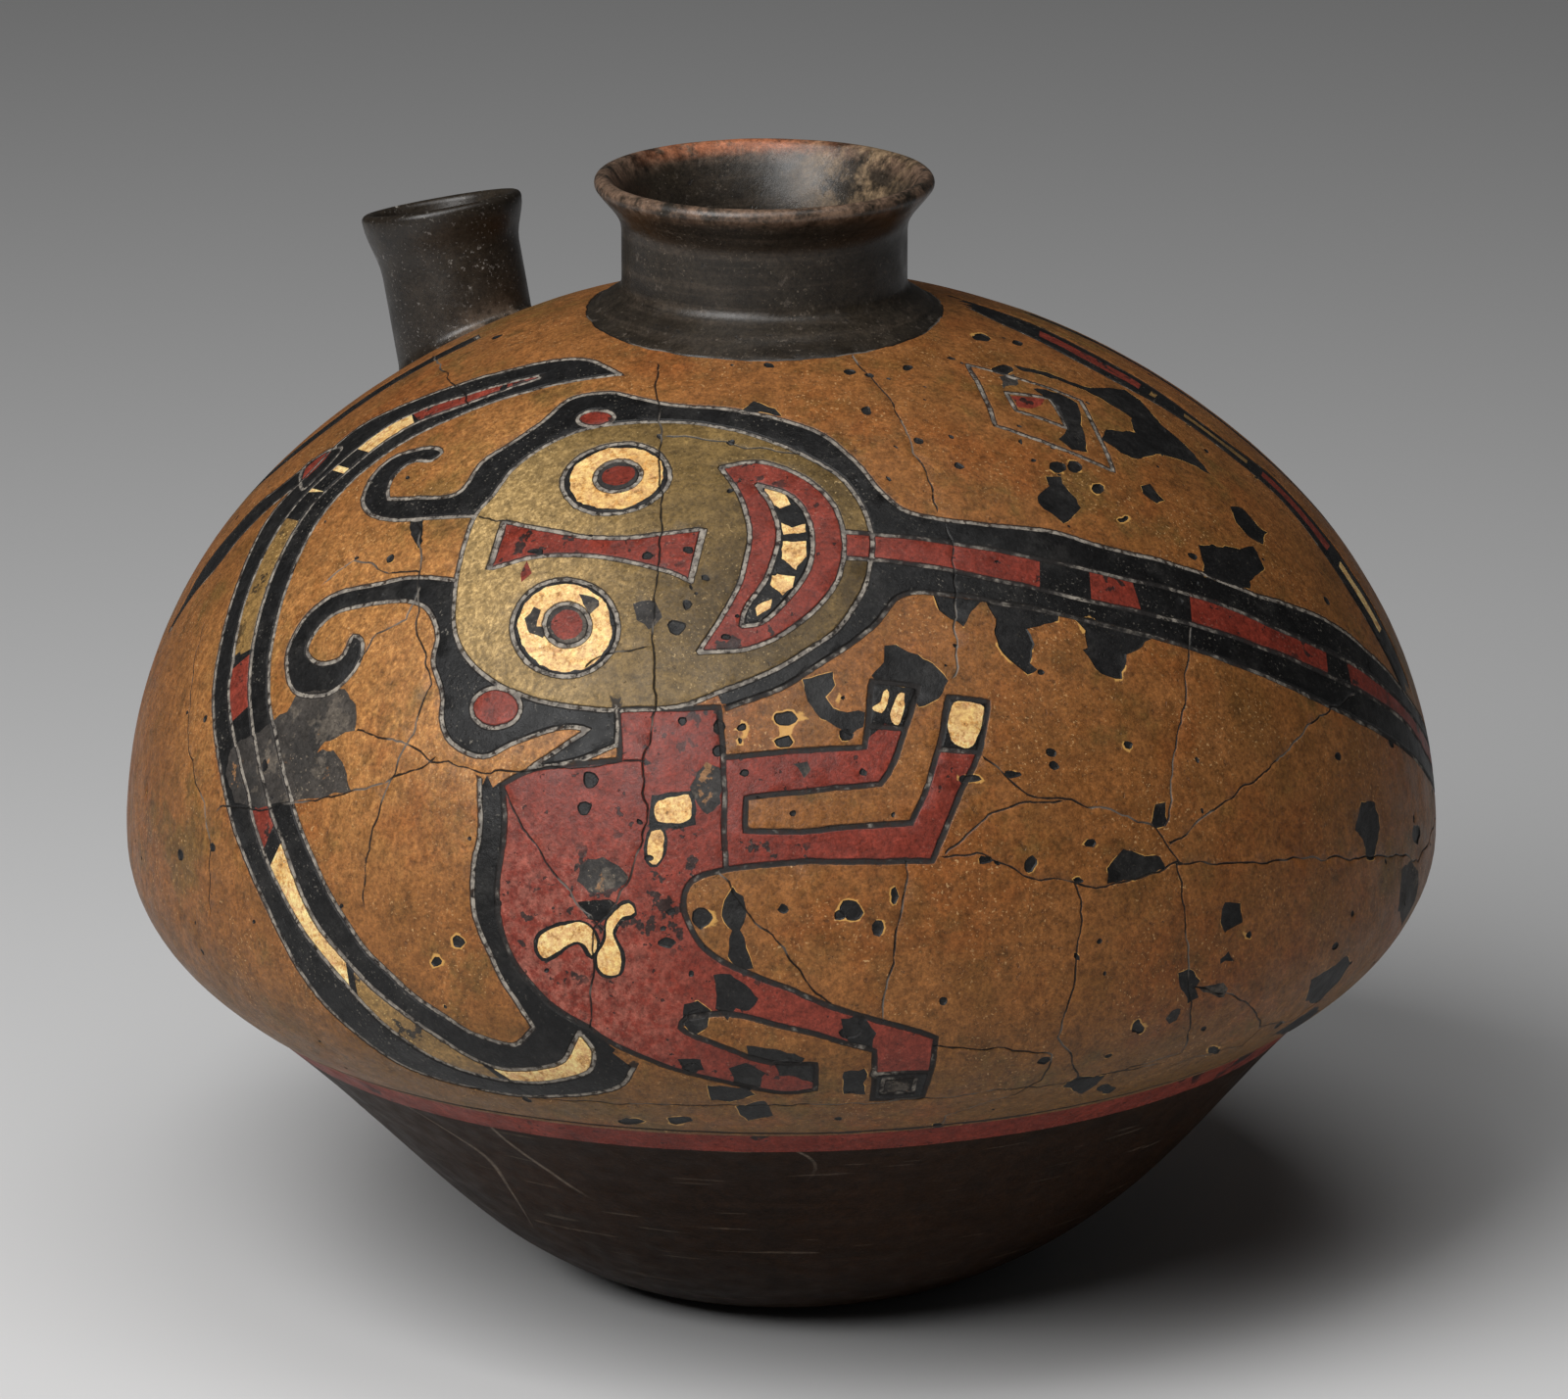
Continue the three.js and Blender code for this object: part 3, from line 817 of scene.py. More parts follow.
# Small losses scattered over the front and fewer, larger ones over the back. Most are small, because
# the size grows with a power of the draw
FRONT_SPECKS = 170
FRONT_TURNS = (-100, 115)
FRONT_DROPS = (10, 245)
FRONT_LEAST = 0.45
FRONT_RANGE = 1.0
BACK_SPECKS = 60
BACK_TURNS = (118, 255)
BACK_DROPS = (20, 240)
BACK_LEAST = 0.8
BACK_RANGE = 2.4
SMALL_POWER = 2.5
SPECK_TILT = 60
dice = np.random.default_rng(41)
for number in range(FRONT_SPECKS):
    turn = dice.uniform(*FRONT_TURNS)
    drop = dice.uniform(*FRONT_DROPS)
    size = FRONT_LEAST + FRONT_RANGE * dice.random() ** SMALL_POWER
    outline = oval(turn, drop, size * dice.uniform(0.8, 1.5), size, dice.uniform(-SPECK_TILT, SPECK_TILT),
                   gap=0.9)
    flake(outline, edge=0.6, seed=number, yellow_rim=dice.random())
for number in range(BACK_SPECKS):
    turn = dice.uniform(*BACK_TURNS)
    drop = dice.uniform(*BACK_DROPS)
    size = BACK_LEAST + BACK_RANGE * dice.random() ** SMALL_POWER
    outline = oval(turn, drop, size * 1.3, size, dice.uniform(-SPECK_TILT, SPECK_TILT), gap=1.2)
    flake(outline, edge=0.9, seed=number, yellow_rim=dice.random())

# Cracks where the jar was mended, in pixels of the photo, and behind the edges in turns and drops
CRACKS = [
    seen((1005, 775), (1050, 810), (1083, 816), (1110, 820), (1140, 829), (1180, 845), (1198, 868),
         (1204, 881)),
    seen((965, 873), (1010, 832), (1050, 818), (1083, 816)),
    seen((965, 873), (1000, 872), (1050, 895), (1100, 902), (1130, 906), (1160, 898), (1204, 881)),
    seen((1204, 881), (1280, 882), (1380, 878), (1450, 880)) + [(92, 200), (110, 190), (128, 196)],
    seen((1204, 881), (1212, 950), (1217, 1020), (1208, 1075), (1140, 1095)),
    seen((1198, 862), (1240, 825), (1285, 795), (1340, 740), (1385, 708)),
    seen((1215, 640), (1210, 720), (1197, 780), (1191, 845)),
    seen((1220, 1010), (1265, 1018), (1283, 1035), (1286, 1050), (1320, 1042), (1345, 1025)),
    seen((1286, 1052), (1270, 1068), (1205, 1085)),
    seen((1100, 900), (1105, 940), (1098, 1010), (1080, 1060), (1102, 1100)),
    seen((955, 1070), (1030, 1073), (1075, 1078), (1065, 1105), (1030, 1120), (965, 1140), (960, 1160)),
    seen((970, 540), (975, 600), (975, 690)),
    seen((670, 372), (673, 440), (675, 560), (665, 660), (670, 720), (655, 790), (660, 840), (640, 900),
         (608, 950), (602, 1050)),
    seen((868, 362), (903, 400), (945, 480), (958, 515)),
    seen((205, 640), (193, 700), (190, 760), (205, 820), (212, 870), (212, 930)),
    seen((222, 823), (262, 826), (320, 817), (390, 800), (440, 775)),
    seen((440, 362), (460, 390), (482, 412)),
    seen((735, 890), (760, 930), (790, 960), (845, 1025)),
    seen((925, 880), (920, 940), (910, 990), (900, 1040)),
    seen((425, 528), (427, 580), (425, 640), (440, 700), (415, 760), (391, 806), (377, 860), (368, 918)),
    seen((362, 745), (410, 758), (440, 775), (500, 790), (560, 784), (655, 778)),
    seen((335, 590), (360, 570), (395, 584), (427, 584)),
    seen((366, 672), (385, 645), (415, 632), (425, 600)),
    seen((655, 660), (620, 665), (600, 680)),
    seen((680, 444), (720, 447), (760, 455), (800, 460), (830, 467), (848, 477)),
    seen((513, 808), (555, 880), (612, 950)),
    seen((485, 527), (520, 531)),
    seen((480, 1113), (560, 1124), (640, 1128), (760, 1130), (880, 1128), (960, 1122), (1080, 1108),
         (1180, 1088)),
    [(100, 20), (96, 80), (104, 140), (99, 200), (104, 246)],
    [(140, 40), (160, 90), (150, 160), (170, 240)],
    [(-160, 30), (-150, 110), (-120, 170), (-130, 246)],
    [(150, 160), (190, 150), (-150, 110)],
]
for number, places in enumerate(CRACKS):
    crack(places, seed=number)

# The neck's slip runs out over the shoulder, farthest at the front, up to a dark seam
SEAM_BACK = 1.9
SEAM_FRONT = 6.2
FRONT_POWER = 1.5
seam = crack([(turn, SEAM_BACK + SEAM_FRONT * max(0, math.cos(math.radians(turn))) ** FRONT_POWER)
              for turn in range(-178, 179, 4)], wander=0.5)
areas.append((PIGMENTS.index("neck"), seam))


# The spout's own directions

azimuth = math.radians(SPOUT_AZIMUTH)
tip = math.radians(SPOUT_LEAN)
out = np.array([math.cos(azimuth), math.sin(azimuth), 0])
across = np.array([-math.sin(azimuth), math.cos(azimuth), 0])
spout_up = math.cos(tip) * np.array([0, 0, 1.0]) + math.sin(tip) * out
spout_out = math.cos(tip) * out - math.sin(tip) * np.array([0, 0, 1.0])
foot_z = float(np.interp(SPOUT_REACH, wall_line[:SECTION_STEPS, 0], wall_line[:SECTION_STEPS, 1]))
spout_origin = np.array([0, 0, foot_z]) + SPOUT_REACH * out + np.array([float(lean_at(foot_z)), 0, 0])


def spout_place(x, y, along):
    """Points of the spout: outwards, across and along it, in millimetres."""
    return (spout_origin + np.multiply.outer(x, spout_out) + np.multiply.outer(y, across)
            + np.multiply.outer(along, spout_up))


SETTLE_ROUNDS = 30


def down_to(line, x, y):
    """How far along the tube's direction the given wall lies under each point."""
    upper = line[:2 * SECTION_STEPS]
    along = np.zeros(len(x))
    for attempt in range(SETTLE_ROUNDS):
        point = spout_place(x, y, along)
        distance = np.hypot(point[:, 0] - lean_at(point[:, 2]), point[:, 1])
        along = along + np.interp(distance, upper[:, 0], upper[:, 1]) - point[:, 2]
    return along


def map_of(point, line):
    """Map positions of points that lie on the given wall."""
    lean = lean_at(point[:, 2])
    distance = np.hypot(point[:, 0] - lean, point[:, 1])
    drop = np.interp(distance, line[:2 * SECTION_STEPS, 0], wall_drop[:2 * SECTION_STEPS])
    return on_map(np.degrees(np.arctan2(point[:, 0] - lean, -point[:, 1])), drop)


ring_angle = 2 * math.pi * np.arange(SPOUT_RING) / SPOUT_RING
ring_x, ring_y = np.cos(ring_angle), np.sin(ring_angle)
foot_radius = SPOUT_RADIUS + SPOUT_FILLET
bore_radius = SPOUT_RADIUS - SPOUT_WALL
spout_foot = down_to(wall_line, foot_radius * ring_x, foot_radius * ring_y)
foot_loop = map_of(spout_place(foot_radius * ring_x, foot_radius * ring_y, spout_foot), wall_line)
bore_foot = down_to(inner_line, bore_radius * ring_x, bore_radius * ring_y)
bore_loop = map_of(spout_place(bore_radius * ring_x, bore_radius * ring_y, bore_foot), inner_line)


# Flat triangulation of the wall

def ring(count, radius):
    """A circle on the map, from the front on."""
    return radius * np.exp(1j * (2 * math.pi * np.arange(count) / count - math.pi / 2))


ROW_SHARE = 0.87
SCATTER = 0.12
MERGE_GAP = 1e-5


def rows(gap, from_turn, to_turn, first_drop, last_drop, seed):
    """Points in staggered rows between two angles, a little scattered."""
    die = np.random.default_rng(seed)
    points = []
    count = int((last_drop - first_drop) / (gap * ROW_SHARE))
    for number, drop in enumerate(np.linspace(first_drop, last_drop, count)):
        radius = float(np.interp(drop, wall_drop, wall_line[:, 0]))
        span = math.radians(to_turn - from_turn) * radius
        n = max(4, int(span / gap))
        turns = from_turn + (np.arange(n) + 0.5 * (number % 2) + 0.25) / n * (to_turn - from_turn)
        turns = turns + die.uniform(-SCATTER, SCATTER, n) * (to_turn - from_turn) / n
        points.append(on_map(turns, np.full(n, drop) + die.uniform(-SCATTER, SCATTER, n) * gap))
    return np.concatenate(points)


def tree_of(space):
    tree = KDTree(len(space))
    for index, point in enumerate(space):
        tree.insert(point, index)
    tree.balance()
    return tree


def nearest(tree, space):
    """Index and distance of the tree's point that is nearest to each point."""
    found = [tree.find(point)[1:] for point in space]
    return np.array([index for index, distance in found]), np.array([distance for index, distance in found])


def triangulate(outer_count, inner_count, lines, filler, clear, hole, line):
    """Triangles of the ring between neck foot and fold, with the given lines as edges."""
    outer = ring(outer_count, wall_rho[-1])
    inner = ring(inner_count, wall_rho[0])
    lines = [(outer, True), (inner, True), (hole, True)] + lines
    fixed = np.concatenate([path for path, closed in lines])
    keep = nearest(tree_of(wall_points(fixed, line)), wall_points(filler, line))[1] > clear
    filler = filler[keep & ~is_inside(filler, hole)]
    coords = np.concatenate([fixed, filler])
    edges = []
    start = 0
    for path, closed in lines:
        n = len(path)
        edges.extend((start + i, start + i + 1) for i in range(n - 1))
        if closed:
            edges.append((start + n - 1, start))
        start += n
    flat = [Vector((p.real, p.imag)) for p in coords]
    verts, _, faces, _, _, _ = delaunay_2d_cdt(flat, edges, [], 0, MERGE_GAP, False)
    points = np.array([complex(v.x, v.y) for v in verts])
    faces = np.array([list(f) for f in faces])
    middle = points[faces].mean(axis=1)
    faces = faces[~is_inside(middle, inner) & ~is_inside(middle, hole)]
    used = np.unique(faces)
    renumber = np.full(len(points), -1)
    renumber[used] = np.arange(len(used))
    return points[used], renumber[faces]


CLEAR_OF_RINGS = 0.9
CLEAR_OF_LINES = 1.4
INNER_CLEAR = 5.0


def clipped(lines):
    """Lines cut off where they would leave the ring or enter the spout's foot."""
    result = []
    guard = beside(foot_loop, -CLEAR_OF_RINGS, True)
    for path, closed in lines:
        margin = CLEAR_OF_RINGS / size_on_map(path)
        keep = (np.abs(path) > wall_rho[0] + margin) & (np.abs(path) < wall_rho[-1] - margin)
        keep &= ~is_inside(path, guard)
        if keep.all():
            result.append((path, closed))
        else:
            result.extend((path[a:b], False) for a, b in runs(keep) if b - a > 1)
    return result


front = rows(FRONT_GAP, -FRONT_SPAN, FRONT_SPAN, FRONT_MARGIN, WALL_LENGTH - FOLD_MARGIN, seed=3)
back = rows(BACK_GAP, FRONT_SPAN, 360 - FRONT_SPAN, BACK_MARGIN, WALL_LENGTH - BACK_MARGIN, seed=4)
wall_map, wall_faces = triangulate(FOLD_RING, NECK_RING, clipped(mesh_lines), np.concatenate([front, back]),
                                   CLEAR_OF_LINES, foot_loop, wall_line)
inner_fill = rows(INNER_GAP, 0, 360, INNER_MARGIN, WALL_LENGTH - INNER_MARGIN, seed=5)
inner_map, inner_faces = triangulate(NECK_RING, NECK_RING, [], inner_fill, INNER_CLEAR, bore_loop, inner_line)

# Painted areas of the faces
face_middle = wall_map[wall_faces].mean(axis=1)
face_pigment = np.zeros(len(wall_faces), int)
for pigment, outline in areas:
    face_pigment[is_inside(face_middle, outline)] = pigment

# Depth of the grooves, the cracks and the losses, and the losses' yellow rims
RIM_FROM = 0.05
RIM_TO = 0.9
wall_space = wall_points(wall_map)
cut_at, cut_distance = nearest(tree_of(wall_points(np.concatenate([path for path, pale in cuts]))),
                               wall_space)
pale = np.concatenate([np.full(len(path), pale) for path, pale in cuts])[cut_at]
crack_distance = nearest(tree_of(wall_points(np.concatenate(cracks))), wall_space)[1]
edges = [resampled(outline, SAMPLE_GAP, True) for outline, yellow in flakes]
edge_at, edge_distance = nearest(tree_of(wall_points(np.concatenate(edges))), wall_space)
yellow = np.concatenate([np.full(len(edge), flakes[i][1]) for i, edge in enumerate(edges)])[edge_at]
in_flake = np.zeros(len(wall_map), bool)
for outline, _ in flakes:
    in_flake |= is_inside(wall_map, outline)
cut = 1 - smoothstep(cut_distance, GROOVE_FLOOR, GROOVE_HALF)
split = 1 - smoothstep(crack_distance, 0, CRACK_HALF)
loss = np.where(in_flake, smoothstep(edge_distance, 0, FLAKE_STEP), 0)
rim = yellow * (1 - smoothstep(edge_distance, RIM_FROM, RIM_TO))
depth = GROOVE_DEPTH * cut + CRACK_DEPTH * split + FLAKE_DEPTH * loss

wall_turn, wall_fall = off_map(wall_map)
normal_2d = -inward(wall_line)
out_r = np.interp(wall_fall, wall_drop, normal_2d[:, 0])
out_z = np.interp(wall_fall, wall_drop, normal_2d[:, 1])
turn_rad = np.radians(wall_turn)
wall_normal = np.stack([out_r * np.sin(turn_rad), -out_r * np.cos(turn_rad), out_z], axis=1)

# The relief fades where the wall meets the neck, the bowl and the spout
RELIEF_FADE = 1.5
edge_fade = smoothstep(wall_fall, 0, RELIEF_FADE)
edge_fade *= 1 - smoothstep(wall_fall, WALL_LENGTH - RELIEF_FADE, WALL_LENGTH)
edge_fade *= smoothstep(nearest(tree_of(wall_points(foot_loop)), wall_space)[1], 0, RELIEF_FADE)
wall_space = wall_space - wall_normal * (depth * edge_fade)[:, None]


# Layout of the picture that the colours are baked into, in its pixels. The painted front takes the
# most room. A place is the middle or left edge, the top or middle, and the pixels to a millimetre
PICTURE_SIDE = 1024
FRONT_PLACE = (512, 8, 1.87)
BACK_PLACE = (268, 494, 0.92)
BOWL_PLACE = (678, 630, 0.72)
INSIDE_FRONT_PLACE = (90, 940, 0.26)
INSIDE_BACK_PLACE = (250, 940, 0.26)
INSIDE_BOWL_PLACE = (400, 960, 0.26)
NECK_PLACE = (12, 752, 1.5)
SPOUT_PLACE = (400, 752, 1.5)


def halves(turn, drop, line, faces, front_place, back_place):
    """Places of a wall's face corners, its front half and its back half apart."""
    turns = turn[faces]
    middle = np.degrees(np.angle(np.exp(1j * np.radians(turns)).mean(axis=1)))[:, None]
    turns = middle + (turns - middle + 180) % 360 - 180
    behind = np.abs(middle) > 90
    turns = np.where(behind, turns - 180 * np.sign(middle), turns)
    left, top, scale = np.where(behind[None], np.array(back_place)[:, None, None],
                                np.array(front_place)[:, None, None])
    x = left + np.radians(turns) * np.interp(drop, wall_drop, line[:, 0])[faces] * scale
    return np.stack([x, top + drop[faces] * scale], axis=-1).reshape(-1, 2)


def along_of(rings):
    """Distance of each ring from the first one, along the tube's side."""
    steps = [np.linalg.norm(later[0] - earlier[0]) for earlier, later in zip(rings, rings[1:])]
    return np.concatenate([[0], np.cumsum(steps)])


def width_of(ring_points):
    return float(np.linalg.norm(ring_points[0] - ring_points[len(ring_points) // 2]))


def unrolled(rings, spot):
    """Places of a tube's rings, rolled out flat."""
    left, top, scale = spot
    along = along_of(rings)
    share = math.pi * width_of(rings[0]) / len(rings[0])
    return lambda k, i: (left + i * share * scale, top + along[k] * scale)


def opened(rings, spot):
    """Places of a bowl's rings, seen from below. The last one is followed by the middle point."""
    x, y, scale = spot
    along = along_of(rings)
    reach = list(along[-1] + width_of(rings[-1]) / 2 - along) + [0]
    angle = 2 * math.pi / len(rings[0])
    return lambda k, i: (x + reach[k] * scale * math.cos(i * angle),
                         y + reach[k] * scale * math.sin(i * angle))


class Shell:
    """Points, faces, looks, marks and places on the picture, gathered from all parts of the jar."""

    def __init__(self):
        self.points = []
        self.faces = []
        self.looks = []
        self.marks = []
        self.corners = []
        self.count = 0

    def add(self, points, faces, looks, corners, marks=None):
        self.points.append(points)
        self.corners.extend(corners)
        self.faces.extend([tuple(int(i) + self.count for i in face) for face in faces])
        self.looks.extend(looks)
        self.marks.append(np.zeros((len(points), len(MARKS))) if marks is None else marks)
        self.count += len(points)

    def add_rings(self, rings, looks, place, close_last=False):
        """A tube through rings of points, with one look to each strip."""
        n = len(rings[0])
        points = np.concatenate(rings)
        faces, kinds, corners = [], [], []
        for k in range(len(rings) - 1):
            low, high = k * n, (k + 1) * n
            for i in range(n):
                faces.append((low + i, low + (i + 1) % n, high + (i + 1) % n, high + i))
                corners.extend([place(k, i), place(k, i + 1), place(k + 1, i + 1), place(k + 1, i)])
            kinds.extend([looks[min(k, len(looks) - 1)]] * n)
        if close_last:
            points = np.concatenate([points, rings[-1].mean(axis=0)[None]])
            last = len(rings) - 1
            for i in range(n):
                faces.append((last * n + i, last * n + (i + 1) % n, len(points) - 1))
                corners.extend([place(last, i), place(last, i + 1), place(last + 1, i)])
            kinds.extend([looks[-1]] * n)
        self.add(points, faces, kinds, corners)


def turned_ring(radius, z, count):
    angle = 2 * math.pi * np.arange(count) / count
    return placed(radius * np.sin(angle), -radius * np.cos(angle), np.full(count, z))


def rings_along(line, drops, steps, count):
    return [turned_ring(float(np.interp(s, drops, line[:, 0])), float(np.interp(s, drops, line[:, 1])), count)
            for s in steps]


MARKS = ["cut", "pale", "split", "rim"]
LOOKS = PIGMENTS + ["band", "bowl", "spout", "inside"]
look = {name: index for index, name in enumerate(LOOKS)}
shell = Shell()
shell.add(wall_space, wall_faces, list(face_pigment),
          halves(wall_turn, wall_fall, wall_line, wall_faces, FRONT_PLACE, BACK_PLACE),
          np.stack([cut, pale, split, rim], axis=1))
inner_faces = inner_faces[:, ::-1]
shell.add(wall_points(inner_map, inner_line), inner_faces, [look["inside"]] * len(inner_faces),
          halves(*off_map(inner_map), inner_line, inner_faces, INSIDE_FRONT_PLACE, INSIDE_BACK_PLACE))

# Bowl outside, from the fold down to the flat spot, with the red band under the fold
bowl_line = bezier((BASE_RADIUS, 0), CLIMB_BASE, (FOLD_RADIUS, FOLD_Z), CLIMB_BELOW_FOLD,
                   BOWL_CURVE_STEPS)[::-1]
bowl_drop = np.concatenate([[0], np.cumsum(np.hypot(*np.diff(bowl_line, axis=0).T))])
BAND_STEPS = [0, 1.2, 3.2, 5.4, 7.6, 9.8]
BOWL_ROWS = 34
FLAT_SPOT_RINGS = (0.75, 0.45, 0.15)
bowl_steps = BAND_STEPS + list(np.linspace(BAND_STEPS[-1], bowl_drop[-1], BOWL_ROWS)[1:])
bowl_rings = rings_along(bowl_line, bowl_drop, bowl_steps, FOLD_RING)
bowl_rings += [turned_ring(BASE_RADIUS * share, 0, FOLD_RING) for share in FLAT_SPOT_RINGS]
shell.add_rings(bowl_rings, [look["band"]] * (len(BAND_STEPS) - 1) + [look["bowl"]],
                opened(bowl_rings, BOWL_PLACE), close_last=True)

# Bowl inside
INNER_BOWL_ROWS = 14
inner_bowl = bowl_line + WALL * inward(bowl_line)
inner_rings = [turned_ring(inner_line[-1, 0], inner_line[-1, 1], NECK_RING)]
inner_rings += rings_along(inner_bowl, bowl_drop, np.linspace(0, bowl_drop[-1], INNER_BOWL_ROWS)[1:],
                           NECK_RING)
inner_rings.append(turned_ring(inner_bowl[-1, 0] / 2, inner_bowl[-1, 1], NECK_RING))
shell.add_rings(inner_rings, [look["inside"]], opened(inner_rings, INSIDE_BOWL_PLACE), close_last=True)

# Neck, lip and throat, from the neck foot up and over and down to the cavity
LIP_STEPS = 11
NECK_STEPS = 7
THROAT_STEPS = 8
THROAT_TOP_Z = 269.3
THROAT_ROWS_Z = (264.0, 259.5, NECK_FOOT_Z)
lip_centre = np.array([LIP_CENTRE_RADIUS, LIP_Z])
outer_angle = CLIMB_RIM - UPRIGHT
lip = [lip_centre + LIP_RADIUS * direction(a) for a in np.linspace(outer_angle, outer_angle + 180, LIP_STEPS)]
neck_line = list(bezier((NECK_FOOT_RADIUS, NECK_FOOT_Z), CLIMB_NECK_FLARE, (NECK_RADIUS, NECK_Z), UPRIGHT,
                        NECK_STEPS))
neck_line += [np.array([NECK_RADIUS, z]) for z in np.linspace(NECK_Z, FLARE_Z, NECK_STEPS)[1:]]
neck_line += list(bezier((NECK_RADIUS, FLARE_Z), UPRIGHT, lip[0], CLIMB_RIM, NECK_STEPS)[1:])
neck_line += lip[1:]
neck_line += list(bezier(lip[-1], CLIMB_RIM + 180, (THROAT_RADIUS, THROAT_TOP_Z), -UPRIGHT,
                         THROAT_STEPS)[1:])
outside_steps = len(neck_line) - 1
neck_line += [np.array([THROAT_RADIUS, z]) for z in THROAT_ROWS_Z]
neck_line += [inner_line[0]]
neck_rings = [turned_ring(float(r), float(z), NECK_RING) for r, z in neck_line]
shell.add_rings(neck_rings, [look["neck"]] * outside_steps + [look["inside"]],
                unrolled(neck_rings, NECK_PLACE))

# Spout
FOOT_STEPS = 6
TUBE_STEPS = 8
FLARE_STEPS = 6
INNER_FLARE_STEPS = 5
BORE_ROWS_Z = (16.0, 9.0, 3.0)
flare_start = SPOUT_LENGTH - SPOUT_FLARE_HEIGHT
spout_line = [np.array([SPOUT_RADIUS + SPOUT_FILLET, SPOUT_FILLET])
              + SPOUT_FILLET * direction(a) for a in np.linspace(-90, -180, FOOT_STEPS)]
spout_line += [np.array([SPOUT_RADIUS, z]) for z in np.linspace(SPOUT_FILLET, flare_start, TUBE_STEPS)[1:]]
spout_lip_centre = np.array([SPOUT_RADIUS + SPOUT_FLARE, SPOUT_LENGTH])
spout_lip = [spout_lip_centre + SPOUT_LIP_RADIUS * direction(a) for a in np.linspace(0, 180, TUBE_STEPS)]
spout_line += list(bezier(spout_line[-1], UPRIGHT, spout_lip[0], UPRIGHT, FLARE_STEPS)[1:])
spout_line += spout_lip[1:]
spout_line += list(bezier(spout_lip[-1], -UPRIGHT, (bore_radius, flare_start), -UPRIGHT,
                          INNER_FLARE_STEPS)[1:])
spout_line += [np.array([bore_radius, z]) for z in BORE_ROWS_Z]
spout_rings = []
for radius, z in spout_line:
    share = float(np.clip(1 - z / SPOUT_LENGTH, 0, 1))
    foot = down_to(wall_line, radius * ring_x, radius * ring_y)
    spout_rings.append(spout_place(radius * ring_x, radius * ring_y, z + share * foot))
spout_rings.append(spout_place(bore_radius * ring_x, bore_radius * ring_y, bore_foot))
shell.add_rings(spout_rings, [look["spout"]] * (len(spout_line) - len(BORE_ROWS_Z)) + [look["inside"]],
                unrolled(spout_rings, SPOUT_PLACE))

points = np.concatenate(shell.points)
marks = np.concatenate(shell.marks)


# Unevenness of coil-built walls: its depth, its length and where its noise is read. It fades out
# towards the flat spot
UNEVEN = [(0.32, 70.0, Vector((3.1, 0, 0))), (0.16, 22.0, Vector((0, 5.3, 0))),
          (0.05, 7.0, Vector((0, 0, 9.7)))]
FLAT_SPOT_FADE = 12.0


def unevenness(point):
    """How far a point lies under the even shape, in millimetres."""
    return sum(depth * (1 + noise.noise(Vector(point / length) + shift)) for depth, length, shift in UNEVEN)


away = points - np.array([0, 0, BELLY_Z])
away /= np.linalg.norm(away, axis=1)[:, None]
sink = np.array([unevenness(p) for p in points]) * smoothstep(points[:, 2], 0, FLAT_SPOT_FADE)
points = points - away * sink[:, None]

# The hollow at the neck's foot is filled out at the front, outwards and upwards alike
FOOT_FILL = 1.7
FOOT_FILL_REACH = 12.0
neck_foot = turned_ring(NECK_FOOT_RADIUS, NECK_FOOT_Z, NECK_RING)
foot_away = points[:, :2] - neck_foot[:, :2].mean(axis=0)
foot_away /= np.maximum(np.linalg.norm(foot_away, axis=1), 1)[:, None]
fill = FOOT_FILL * np.maximum(1 - nearest(tree_of(neck_foot), points)[1] / FOOT_FILL_REACH, 0) ** 2
fill *= np.maximum(-foot_away[:, 1], 0) ** FRONT_POWER * math.sqrt(0.5)
points = points + np.column_stack([foot_away * fill[:, None], fill])

data = bpy.data.meshes.new("painted_jar")
data.from_pydata([tuple(p * MM) for p in points], [], shell.faces)
data.polygons.foreach_set("material_index", np.array(shell.looks, np.int32))
for index, name in enumerate(MARKS):
    attribute = data.attributes.new(name, "FLOAT", "POINT")
    attribute.data.foreach_set("value", marks[:, index].astype(np.float32))
corners = np.array(shell.corners) / PICTURE_SIDE
corners[:, 1] = 1 - corners[:, 1]
data.uv_layers.new(name="OFBake").data.foreach_set("uv", corners.astype(np.float32).ravel())
jar = bpy.data.objects.new("painted_jar", data)
bpy.context.scene.collection.objects.link(jar)
work = bmesh.new()
work.from_mesh(data)
bmesh.ops.remove_doubles(work, verts=work.verts, dist=SAME_POINT)
bmesh.ops.recalc_face_normals(work, faces=work.faces)
work.to_mesh(data)
work.free()
data.polygons.foreach_set("use_smooth", np.ones(len(data.polygons), bool))
data.set_sharp_from_angle(angle=math.radians(SHARP_FROM))


# Materials. A colour mix has its sockets at these numbers, and a patch is whole in its inner share
MIX_FIRST = 6
MIX_SECOND = 7
MIX_RESULT = 2
PATCH_CORE = 0.25


